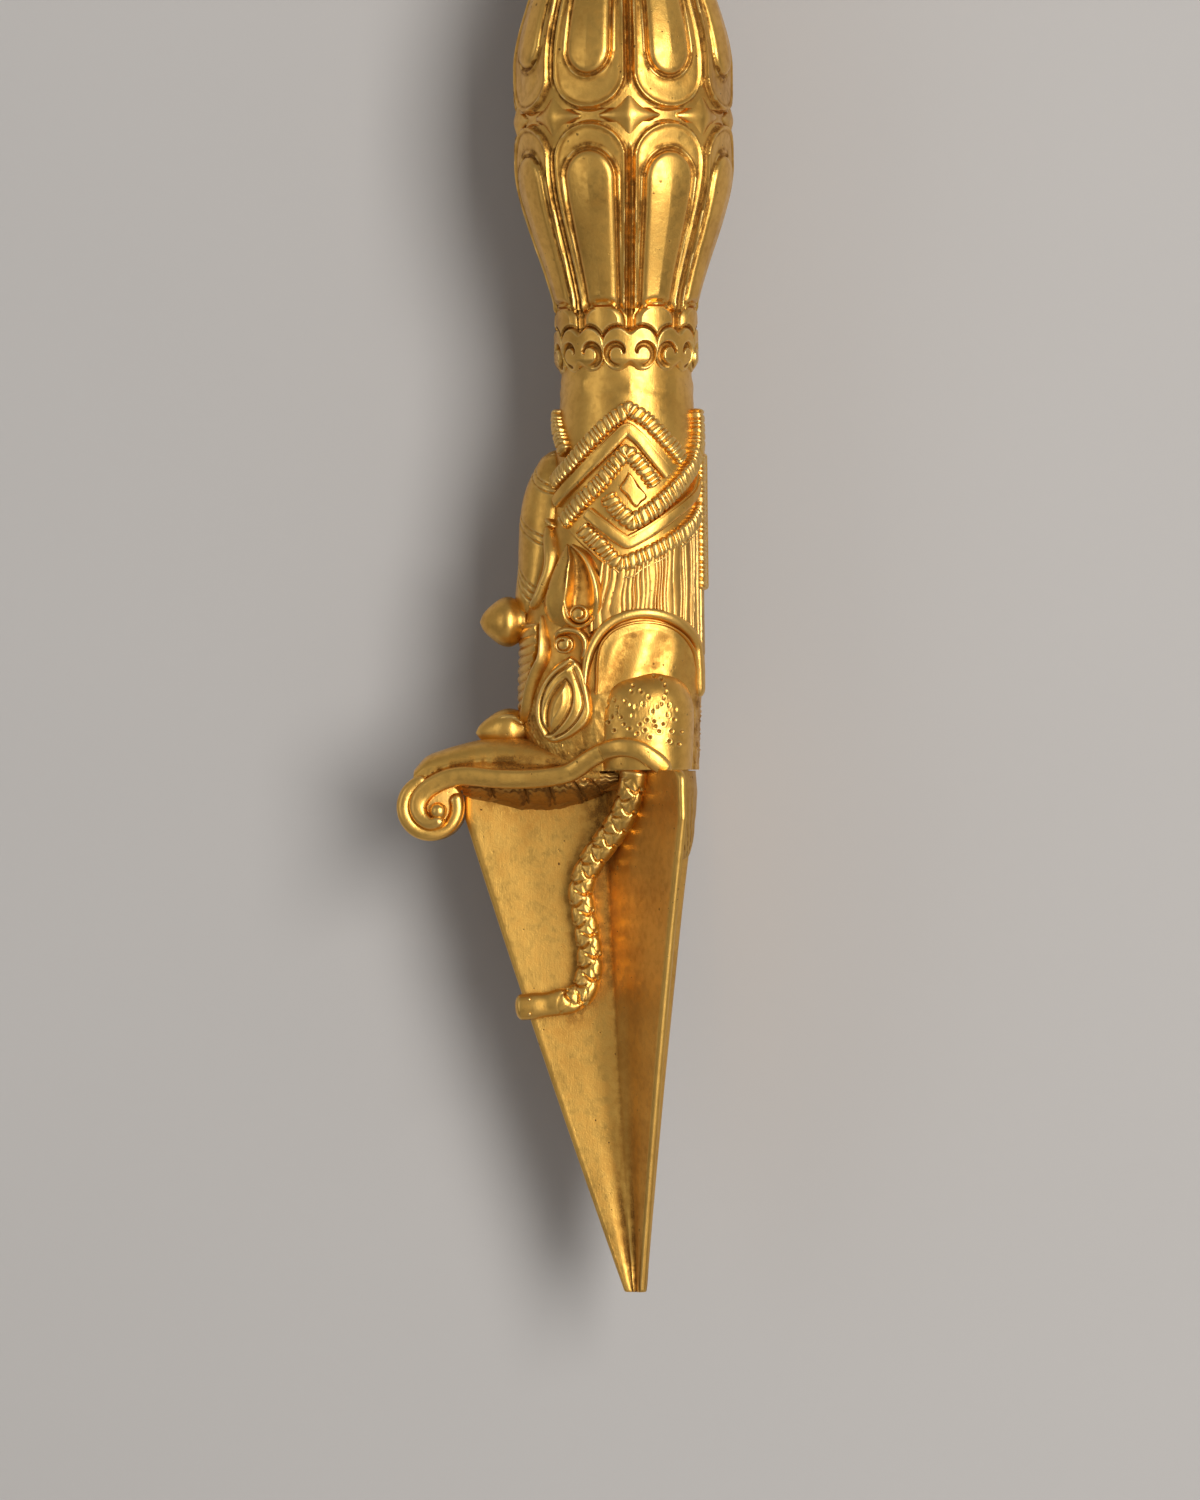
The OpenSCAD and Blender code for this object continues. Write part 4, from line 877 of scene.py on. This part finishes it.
def mane_shape(u, v):
    f = -9 + 198 * u
    g = np.where(f > 90, 180 - f, f)
    top = np.interp(g, [-24, -5, 5, 27, 52, 76, 90], [20, 22.0, 22.6, 20.6, 17.6, 15.4, 14.8])
    low = np.interp(g, [-9, 0, 10, 20, 45, 60, 75, 90], [33.4, 32.0, 31.0, 30.6, 32.0, 33.7, 36.6, 37])
    p = (u + 0.0025 * np.sin(9 * v + 40 * u)) * strand_at[-1]
    k = np.clip(np.searchsorted(strand_at, p, side="right") - 1, 0, strands - 1)
    across = np.clip((p - strand_at[k]) / strand_w[k], 0, 1)
    cut = strand_cut[k] * (1 - np.sin(pi * across) ** 0.45) * (0.7 + 0.5 * np.sin(3 * v + k))
    rim = np.minimum(np.minimum(v, 1 - v) / 0.05, np.minimum(u, 1 - u) / 0.004)
    return on_drum(f, top + (low - top) * v, let_in(0.85 + strand_lift[k] - cut, rim))


bm = bmesh.new()
sheet(bm, 1000, 40, mane_shape)
cast(bm, "mane", old_gilt, lambda x, y, z: 0.05)

# The knots: an endless knot of cord on each side of the head, three strands together, the outer
# two laid like rope and the middle one smooth, round a plain lozenge.
side_arc = 9.7 * pi / 180  # millimetres round the skull for one degree
lay = 0.82  # from one strand of a laid cord to the next
cords = [  # kind, half width, lift, [angle on the skull, depth] points
    ("rope", 1.22, 0.12, [[-68, 11.9], [-46, 9.4], [-29, 6.5], [-14, 3.9], [3, 1.7], [17, 3.2], [31, 5.6],
                          [52, 8.9]]),
    ("flat", 1.02, 0.20, [[-60, 14.6], [-38, 11.5], [-20, 8.5], [2, 4.45], [12, 6.0], [24, 8.5], [37, 11.0]]),
    ("rope", 1.22, 0.20, [[-47, 17.8], [-31, 14.6], [-16, 11.9], [1.8, 7.6], [13, 9.5], [26, 12.5]]),
    ("rope", 1.32, 0.32, [[-11, 13.7], [-1, 16.0], [8, 17.6], [26, 15.4], [44, 12.6], [66, 9.4], [78, 6.2],
                          [82, 3.4], [82, 1.5]]),
    ("flat", 1.0, 0.25, [[-25, 16.0], [-8, 18.3], [5, 20.4], [20, 18.8], [41, 16.2], [68, 13.3], [82, 10.2],
                         [87, 6.7]]),
    ("rope", 1.22, 0.15, [[-29, 18.1], [-11, 20.7], [2, 23.4], [18, 22.1], [38, 20.3], [63, 17.9], [86, 15]]),
    ("rope", 1.15, 0.10, [[-84, 1.8], [-76, 3.6], [-63, 5.9], [-53, 7.8]])]


def rope(s, t):
    """Strands of a laid cord: flat pillows between soft cross cuts."""
    at = s + 0.16 * np.sin(2.3 * s) + 0.26 * np.cos(t)
    return -0.30 * bell(np.abs(at / lay % 1 - 0.5) * lay - lay / 2, 0.12)


def flat(s, t):
    """A smooth cord with one fine line along its edge."""
    return -0.2 * bell(t - 2.1, 0.13) - 0.08 * ease(t, 2.1, 2.5) * (t < pi)


def bent(points, count, soft):
    """A row of count points along straight legs whose corners are only a little rounded."""
    p = np.array(points, float)
    out = [p[0]]
    for a, b, c in zip(p[:-2], p[1:-1], p[2:]):
        before = (a - b) * min(0.45, soft / np.linalg.norm(a - b))
        after = (c - b) * min(0.45, soft / np.linalg.norm(c - b))
        out += [b + before, b + (before + after) * 0.25, b + after]
    return spaced(np.array(out + [p[-1]]), count)


def knot_ground(u, v):
    """The smooth field under the cords."""
    f = -62 + 148 * u
    top = np.interp(f, [-62, -46, -30, -14, 3, 17, 31, 50, 60, 69, 80, 86],
                    [12.9, 10, 7, 4.4, 2.6, 4, 6.4, 9.6, 9.4, 7.6, 3.4, 2.4])
    low = np.interp(f, [-62, -44, -30, -11, 1, 13, 29, 50, 86],
                    [15.4, 18.3, 20.3, 22.8, 25.0, 23.6, 22.5, 20.7, 17.9])
    rim = np.clip(np.minimum(np.minimum(u, 1 - u) / 0.01, np.minimum(v, 1 - v) / 0.02), 0, 1)
    return on_drum(f, top + (low - top) * v, -0.4 + 0.62 * rim)


def knot(bm):
    sheet(bm, 120, 60, knot_ground)
    for kind, half, lift, points in cords:
        p = np.array(points, float) * [side_arc, 1]
        count = int(travel(p)[-1] / 0.11)
        f, depth = (bent(p, count, 0.35) / [side_arc, 1]).T
        way = on_drum(f, depth, lift)
        for k in range(3):
            way[1:-1] = (way[:-2] + 2 * way[1:-1] + way[2:]) / 4
        out = skull_out(f, z_head - depth)
        if kind == "rope":
            tube(bm, way, out, half, 1.12, 30, rope, 0.5, 3.1)
        else:
            tube(bm, way, out, half, 0.95, 40, flat, 0.25, 3.4)
    boss(bm, [[0.5, 10.3], [1.7, 12.2], [2.9, 14.0], [2.1, 14.9], [1.3, 15.6], [0.1, 14.1], [-0.9, 12.7],
              [-0.2, 11.5]],
         lambda x, d, inset: 0.45 + 0.4 * ease(inset, 0.0, 0.5), 20, 64)
    ridge(bm, [[-5.2, 20.9], [-3.6, 22.5], [-2.2, 23.6], [0.2, 25.2], [2.2, 23.9], [4.8, 22.6], [7.2, 20.9],
               [9.2, 18.8]], 0.3, 0.8, 140, 0.1, 14, 0.5)


pair(("knot_left", "knot_right"), knot, bright_gilt)

# The cord that hangs down the back of the head between the knots: two laid strands beside a smooth
# one, cast as one piece and set on the skull.
bm = bmesh.new()
depth = np.linspace(7.6, 27, 190)
for side, angle, half, twist in ((1, 79.5, 1.15, rope), (-1, 79.5, 1.15, rope), (1, 90, 0.8, None)):
    f = np.full(190, float(angle))
    made = tube(bm, on_drum(f, depth, 0.35), skull_out(f, z_head - depth), half, 1.2, 30, twist, 0.6, 2.8)
    bmesh.ops.scale(bm, vec=(1, side, 1), verts=made)
cast(bm, "back_cord", bright_gilt)

# The lower jaw with its beard, in the hollow between the two rear fins, drawn down to a point and
# combed with a graver.
# each row: depth, middle, half length, half width
jaw_rows = flow([[0, 4.4, 4.6, 7.0], [1.5, 4.4, 4.7, 6.8], [3, 4.6, 4.6, 6.4], [4.5, 4.8, 4.3, 5.8],
                 [6, 5, 4, 5.2], [7.5, 5.2, 3.6, 4.4], [9, 5.6, 3.1, 3.6], [10.6, 6, 2.4, 2.6],
                 [12.2, 6.6, 1.2, 1.2], [12.6, 6.7, 0.05, 0.05]], 120)


def jaw_shape(u, v):
    (depth, middle, length, half), t = jaw_rows[nth(v, 120)].T, 2 * pi * u
    hair = 0.12 * (np.abs(np.sin(26 * u * pi + 0.8 * np.sin(v * 5))) ** 0.7 - 1) * ease(v, 0.12, 0.3)
    close = np.where(v < 0.004, 0.0, 1.0)
    return np.column_stack([middle + (length + hair) * np.cos(t) * close, (half + hair) * np.sin(t) * close,
                            z_mouth - 0.03 - depth])


bm = bmesh.new()
sheet(bm, 220, 119, jaw_shape)
cast(bm, "lower_jaw", old_gilt)

# The neck: a short cast ring threaded on the tang between the head and the lower cloud collar,
# with eight soft facets worn nearly smooth.
z_neck, waist_r, turned = -36.2, 9.1, 5.0


def sleeve(bm, across, heights, radius):
    """A ring round the tang: radius(turn, z) is its outside and the ends run straight in to the bore."""
    h = np.r_[heights[0], heights, heights[-1], heights[0]]
    inner = np.r_[1, np.zeros(len(heights)), 1, 1]

    def shape(u, v):
        k, t = nth(v, len(h)), 360 * u
        r = np.where(inner[k] > 0, bore_r, radius(t, h[k]))
        return np.column_stack([r * np.cos(np.radians(t)), r * np.sin(np.radians(t)), h[k]])

    sheet(bm, across, len(h) - 1, shape)


def from_middle(t, r):
    """How far round, at the radius r, an angle is from the middle of its petal."""
    return ((t - turned) % 45 - 22.5) * pi / 180 * r


def neck_radius(t, z):
    facet = (np.abs((t - turned) % 45 - 22.5) / 22.5) ** 2 - 0.4
    deep = 0.24 + 0.1 * np.sin(2.3 * z + t / 19)
    deep = deep * ease(z, z_head, z_head + 1) * ease(-z, -z_neck, -z_neck + 1)
    return np.interp(z, [z_head, z_neck - 1, z_neck], [neck_r, 9.14, waist_r]) + facet * deep


bm = bmesh.new()
sleeve(bm, 192, np.linspace(z_head, z_neck, 14), neck_radius)
cast(bm, "neck", bright_gilt)

# The petals: two sleeves of eight lotus petals each, back to back round the grip. Every petal is
# cast with a thin raised edge, a wide hollow border and a long rounded finger, no two quite alike.
petal_len, r_grip, r_waist, belt_drop, belt_h = 27.2, 15.4, 10.2, 0.6, 2.0
lower_ends = np.array([3.9, 4.1, 4.4, 4.0, 4.2, 3.8, 4.0, 4.3])
upper_ends = np.array([4.8, 4.5, 5.2, 4.4, 6.2, 4.9, 4.6, 5.0])


def rim_r(z):
    """Radius of the petals' edges."""
    u = np.clip((np.abs(z) / petal_len - 0.26) / 0.7, 0, 1)
    return r_grip - (r_grip - r_waist) * (u * u * (3 - 2 * u) * 0.4 + u ** 1.4 * 0.6)


def petal_edge(u, down, r):
    """Distance inside a petal's outline, at u across from its middle and down below its tip."""
    half, bow = pi / 8 * r - 0.56, 5.0
    up = np.maximum(bow - down, 0)
    far, q = np.hypot(u, up), np.hypot(u / half, up / bow)
    return np.where(up > 0, np.minimum(far * (1 / np.maximum(q, 1e-3) - 1), half), half - np.abs(u))


def petal_radius(drop, wide, ends):
    """Radius over one ring of petals; wide is its fingers' half width, ends where each finger starts."""
    def radius(t, z):
        r = rim_r(z)
        u = from_middle(t, r)
        start = np.take(ends, ((t - turned) // 45).astype(int) % 8)
        down = -z - drop - belt_h / 2
        edge = petal_edge(u, down, r)
        apart = pi / 8 * r - np.abs(u)
        w = wide * (0.62 + 0.38 * (r - r_waist) / (r_grip - r_waist))
        up = np.maximum(start + w * 1.1 - down, 0)
        inner = np.where(up > 0, w - np.hypot(u, up / 1.1), w - np.abs(u))
        groove = -0.72 + 0.56 * bell(apart, 0.19) * ease(down, 2.6, 4.6)
        border = -0.02 - 0.30 * ease(edge, 0.25, 0.75) - 0.28 * ease(edge, 0.7, 3.0)
        out = groove + (border - groove) * ease(edge, -0.1, 0.22)
        out = out + 0.17 * bell(inner + 0.62, 0.13) * ease(edge, 0.5, 0.9) - 0.22 * bell(inner + 0.16, 0.2)
        crown = np.sqrt(np.clip(1 - (1 - np.clip(inner / 0.95, 0, 1)) ** 2, 0, 1))
        finger = -0.62 + 0.62 * crown + 0.3 * np.clip(inner / w, 0, 1) ** 0.9
        out = np.where(inner > 0, np.maximum(finger, out), out)
        # the groove over each fan leaf of the collar
        ring = np.hypot(from_middle(t, r_waist) / 3.35, np.minimum(-29.0 - z, 0) / 2.7)
        out = out - 0.55 * bell(ring - 1.08, 0.11) * (z < -23)
        return r + out - (0.55 + out) * ease(1 - ring, 0, 0.14) * ease(-z, 26.5, 26.9)
    return radius


for name, side, drop, wide, ends in (("lower_petals", 1, belt_drop, 3.75, lower_ends),
                                     ("upper_petals", -1, -belt_drop, 3.2, upper_ends)):
    bm = bmesh.new()
    tip = -belt_h / 2 - drop
    heights = np.r_[np.linspace(-petal_len, tip - 9, 60), np.linspace(tip - 9, tip, 76)[1:]]
    sleeve(bm, 720, heights, petal_radius(drop, wide, ends))
    bmesh.ops.scale(bm, vec=(1, 1, side), verts=bm.verts)
    cast(bm, name, bright_gilt)

# The cloud collars: a fan-shaped leaf under each petal, and between the leaves a pair of clouds that
# roll inward to a ball, chased in relief on a short drum. The upper one mirrors the lower.


def collar_radius(t, z):
    w = from_middle(t, r_waist)
    x, y = np.abs(from_middle(t + 22.5, r_waist)), -29.7 - z
    ground = np.interp(z, [z_neck, -34.4, -31], [waist_r, 9.12, 9.2])
    # between the leaves the petals' edges run on down to the clouds
    apart = pi / 8 * r_waist - np.abs(w)
    petals = r_waist - 0.35 - 0.75 * (1 - ease(apart, 0.5, 0.8)) + 0.7 * bell(apart, 0.16)
    out = np.where(z > -30.6, petals - 0.25 * ease(apart, 0.9, 1.5), ground)
    # fan leaf with a domed crown
    low = -26.6 - z
    ring = np.hypot(w / 3.3, np.minimum(low - 2.2, 0) / 2.4)
    leaf = 9.35 + 0.8 * np.sqrt(np.clip((1 - ring) / 0.3, 0, 1)) - 0.1 * (w / 3) ** 2
    leaf = leaf - (leaf - ground) * ease(low, 5.0, 7.6)
    out = np.where(ring < 1.1, np.maximum(ground, leaf * (ring < 1)), out)
    # cloud: two lobes grown together over the corner, each cut by a groove that curls in to a ball
    middle = np.sqrt(x ** 2 + 0.6)
    egg = np.hypot((middle - 1.95) / np.where(middle < 1.95, 1.85, 2.5), (y - 2.95) / 3.15)
    lobe = 9.35 + 0.75 * np.sqrt(np.clip((1 - egg) / 0.16, 0, 1))
    bx, by = x - 1.85, y - 3.75
    turn_in = ((112 - np.degrees(np.arctan2(by, bx))) % 360) / 300
    along = np.clip(turn_in, 0, 1)
    spiral = np.hypot(bx, by) - 1.7 + 0.85 * along ** 2
    cut = np.exp(-(spiral / (0.14 + 0.3 * np.sin(pi * along ** 0.8))) ** 4)
    lobe = lobe - 0.8 * cut * (turn_in < 1) * ease(turn_in, 0, 0.15) * ease(1 - turn_in, 0, 0.12)
    lobe = lobe - (lobe - ground - 0.1) * 0.85 * ease(y, 4.3, 6.2)
    out = np.where((egg < 1.0) & (y > -0.3), np.maximum(lobe, ground - 0.25), out)
    out = out - 0.12 * bell(egg - 1.06, 0.05) * (y < 3.2) * (egg >= 1.0)
    return np.clip(out, 8.9, 10.16)


for name, side in (("lower_collar", 1), ("upper_collar", -1)):
    bm = bmesh.new()
    sleeve(bm, 720, np.linspace(z_neck, -petal_len, 128), collar_radius)
    bmesh.ops.scale(bm, vec=(1, 1, side), verts=bm.verts)
    cast(bm, name, bright_gilt)

# The lozenge band between the petals: at each of their corners a soft four-pointed cushion, whose
# points run on between the petals and whose hollow sides follow their arches.
belt_half, corner_soft = 4.7, 2.4


def belt_radius(t, z):
    u, far = from_middle(t, r_grip), 0
    for across in (u, pi / 4 * r_grip - np.abs(u)):
        for down in (z + belt_drop - belt_h / 2, -z - belt_drop - belt_h / 2):
            far = far + np.exp(corner_soft * petal_edge(across, down, r_grip))
    free = -np.log(far) / corner_soft
    return r_grip - 1.5 + 0.25 * ease(free, 0.1, 0.5) + 1.35 * np.clip((free - 0.85) / 2.2, 0, 1) ** 0.55


bm = bmesh.new()
sleeve(bm, 720, np.linspace(-belt_half - belt_drop, belt_half - belt_drop, 96), belt_radius)
cast(bm, "lozenge_belt", bright_gilt)

# The pommel, which the photograph doesn't show: a cup of eight lotus petals under half a vajra,
# with four prongs that close on a ribbed middle one.
z_vajra, lotus_h, lotus_r, lotus_foot = 43.2, 7.0, 12.0, 9.4


def lotus_radius(t, z):
    v = np.clip((z - z_top) / lotus_h, 0, 1)
    cup = lotus_foot + (lotus_r - 1.2 - lotus_foot) * v ** 0.8
    half = 4.0 * np.sqrt(np.clip(1 - np.abs((v - 0.32) / 0.62) ** 2.6, 0, 1))
    edge = half - np.abs(from_middle(t, cup))
    leaf = 0.75 * ease(edge, 0, 0.5) - 0.3 * ease(edge, 0.7, 1.3) + 0.45 * ease(edge, 1.4, 3.0)
    return np.minimum(cup - 0.5 + np.maximum(leaf, 0.9 * bell(v - 0.95, 0.05)), lotus_r - 0.1)


bm = bmesh.new()
sleeve(bm, 560, np.linspace(z_top, z_vajra, 70), lotus_radius)
cast(bm, "lotus_base", bright_gilt)

prong_way = flow([[4, 0, 0.1], [7.4, 0, 2.2], [10, 0, 7], [11, 0, 12.5], [9.8, 0, 18.6], [6.6, 0, 23.4],
                  [3.4, 0, 26.2]], 170) + [0, 0, z_vajra]
s = np.linspace(0, 1, 170)
prong_size = 1.15 + 1.05 * np.sin(pi * s) + 0.5 * bell(s - 0.08, 0.05)


def prong_lines(s, t):
    """A fine line on each side of the prong's back."""
    return -0.22 * bell(np.abs(np.cos(t)) - 0.72, 0.14)


for name, turn in (("prong_front", pi), ("prong_left", 1.5 * pi),
                   ("prong_back", 0.0), ("prong_right", 0.5 * pi)):
    bm = bmesh.new()
    out = np.cross(np.gradient(prong_way, axis=0), [0, 1.0, 0])
    tube(bm, prong_way, out, prong_size, prong_size, 40, prong_lines, 1.2)
    bmesh.ops.rotate(bm, verts=bm.verts, cent=(0, 0, 0), matrix=Matrix.Rotation(turn, 3, "Z"))
    cast(bm, name, bright_gilt)

centre_row = flow([[0, 0], [5.1, 0], [5.2, 0.6], [5.1, 1.2], [3.2, 2.2], [2.2, 4], [2.2, 9], [3, 11.4],
                   [2.2, 14], [1.8, 22], [2.6, 24.6], [2.2, 27.6], [1, 30.2], [0, 31]], 140)


def centre_shape(u, v):
    (r, z), t = centre_row[nth(v, 140)].T, 2 * pi * u
    rib = 1 - 0.05 * np.abs(np.sin(4 * t)) * ease(v, 0.2, 0.3)
    return np.column_stack([r * rib * np.cos(t), r * rib * np.sin(t), z_vajra + z])


bm = bmesh.new()
sheet(bm, 96, 139, centre_shape)
cast(bm, "centre_prong", bright_gilt)

# The stage: a pale grey wall close behind the object, a floor well below it, a large soft light
# from the right and a weaker one from the left. Its sizes are in metres.


def plain(name, colour, rough):
    """A painted surface, very slightly uneven in tone."""
    mat = bpy.data.materials.new(name)
    mat.use_nodes = True
    add, link = mat.node_tree.nodes.new, mat.node_tree.links.new
    base = mat.node_tree.nodes["Principled BSDF"]
    base.inputs["Roughness"].default_value = rough
    base.inputs["Specular IOR Level"].default_value = 0.2
    place, spot, tint = add("ShaderNodeTexCoord"), add("ShaderNodeTexNoise"), add("ShaderNodeMix")
    spot.inputs["Scale"].default_value = 9.0
    link(place.outputs["Object"], spot.inputs["Vector"])
    tint.data_type = "RGBA"
    tint.inputs[6].default_value = (*colour, 1)
    tint.inputs[7].default_value = (*[c * 0.93 for c in colour], 1)
    link(spot.outputs["Fac"], tint.inputs[0])
    link(tint.outputs[2], base.inputs["Base Color"])
    return mat


def panel(name, size, at, paint, upright=False):
    bm = bmesh.new()
    bmesh.ops.create_grid(bm, x_segments=1, y_segments=1, size=size)
    if upright:
        bmesh.ops.rotate(bm, verts=bm.verts, cent=(0, 0, 0), matrix=Matrix.Rotation(pi / 2, 3, "X"))
    bmesh.ops.translate(bm, vec=at, verts=bm.verts)
    mesh = bpy.data.meshes.new(name)
    bm.to_mesh(mesh)
    bm.free()
    mesh.materials.append(paint)
    thing = bpy.data.objects.new(name, mesh)
    bpy.context.scene.collection.objects.link(thing)


# the wall is clear from behind, for the views of the object's other side
wall_paint = plain("wall_paint", (0.47, 0.452, 0.438), 0.8)
nodes, link = wall_paint.node_tree.nodes, wall_paint.node_tree.links.new
pick = nodes.new("ShaderNodeMixShader")
link(nodes.new("ShaderNodeNewGeometry").outputs["Backfacing"], pick.inputs[0])
link(nodes["Principled BSDF"].outputs[0], pick.inputs[1])
link(nodes.new("ShaderNodeBsdfTransparent").outputs[0], pick.inputs[2])
link(pick.outputs[0], nodes["Material Output"].inputs["Surface"])
panel("wall", 0.9, (0, 0.0205, -0.09), wall_paint, upright=True)
panel("floor", 3, (0, 0, -0.6), plain("floor_paint", (0.46, 0.445, 0.43), 0.85))


def lamp(name, at, towards, size, power, colour):
    light = bpy.data.lights.new(name, "AREA")
    light.shape, light.size, light.size_y, light.energy, light.color = "RECTANGLE", *size, power, colour
    holder = bpy.data.objects.new(name, light)
    bpy.context.scene.collection.objects.link(holder)
    holder.location = at
    holder.rotation_euler = (Vector(towards) - Vector(at)).to_track_quat("-Z", "Y").to_euler()


lamp("key", (0.54, -1.00, 0.04), (0, 0, -0.08), (0.50, 0.95), 12.7, (1.0, 0.985, 0.96))
lamp("fill", (-0.62, -0.52, 0.0), (0, 0, -0.08), (0.30, 0.70), 0.6, (1.0, 0.98, 0.96))

world = bpy.data.worlds.new("room")
bpy.context.scene.world = world
world.use_nodes = True
world.node_tree.nodes["Background"].inputs[0].default_value = (0.80, 0.79, 0.78, 1)
world.node_tree.nodes["Background"].inputs[1].default_value = 0.345

# The camera looks level at the middle of the picture, turned two degrees round the object and
# leaning a little with it.
far_off, half_view, aside, height = 1.28, 0.105, -0.00435, -0.0885
lens = bpy.data.cameras.new("camera")
lens.sensor_fit = "VERTICAL"
lens.angle = 2 * atan(half_view / far_off)
lens.clip_start, lens.clip_end = 0.05, 20
camera = bpy.data.objects.new("camera", lens)
bpy.context.scene.collection.objects.link(camera)
ahead = Vector((0, 1, 0))
lean = atan(0.012)
above = Vector((sin(lean), 0, cos(lean)))
right = ahead.cross(above).normalized()
stand = Matrix(((right.x, above.x, -ahead.x, aside), (right.y, above.y, -ahead.y, -far_off),
                (right.z, above.z, -ahead.z, height), (0, 0, 0, 1)))
camera.matrix_world = Matrix.Rotation(radians(2.0), 4, "Z") @ stand
bpy.context.scene.camera = camera
bpy.context.scene.view_settings.view_transform = "Standard"
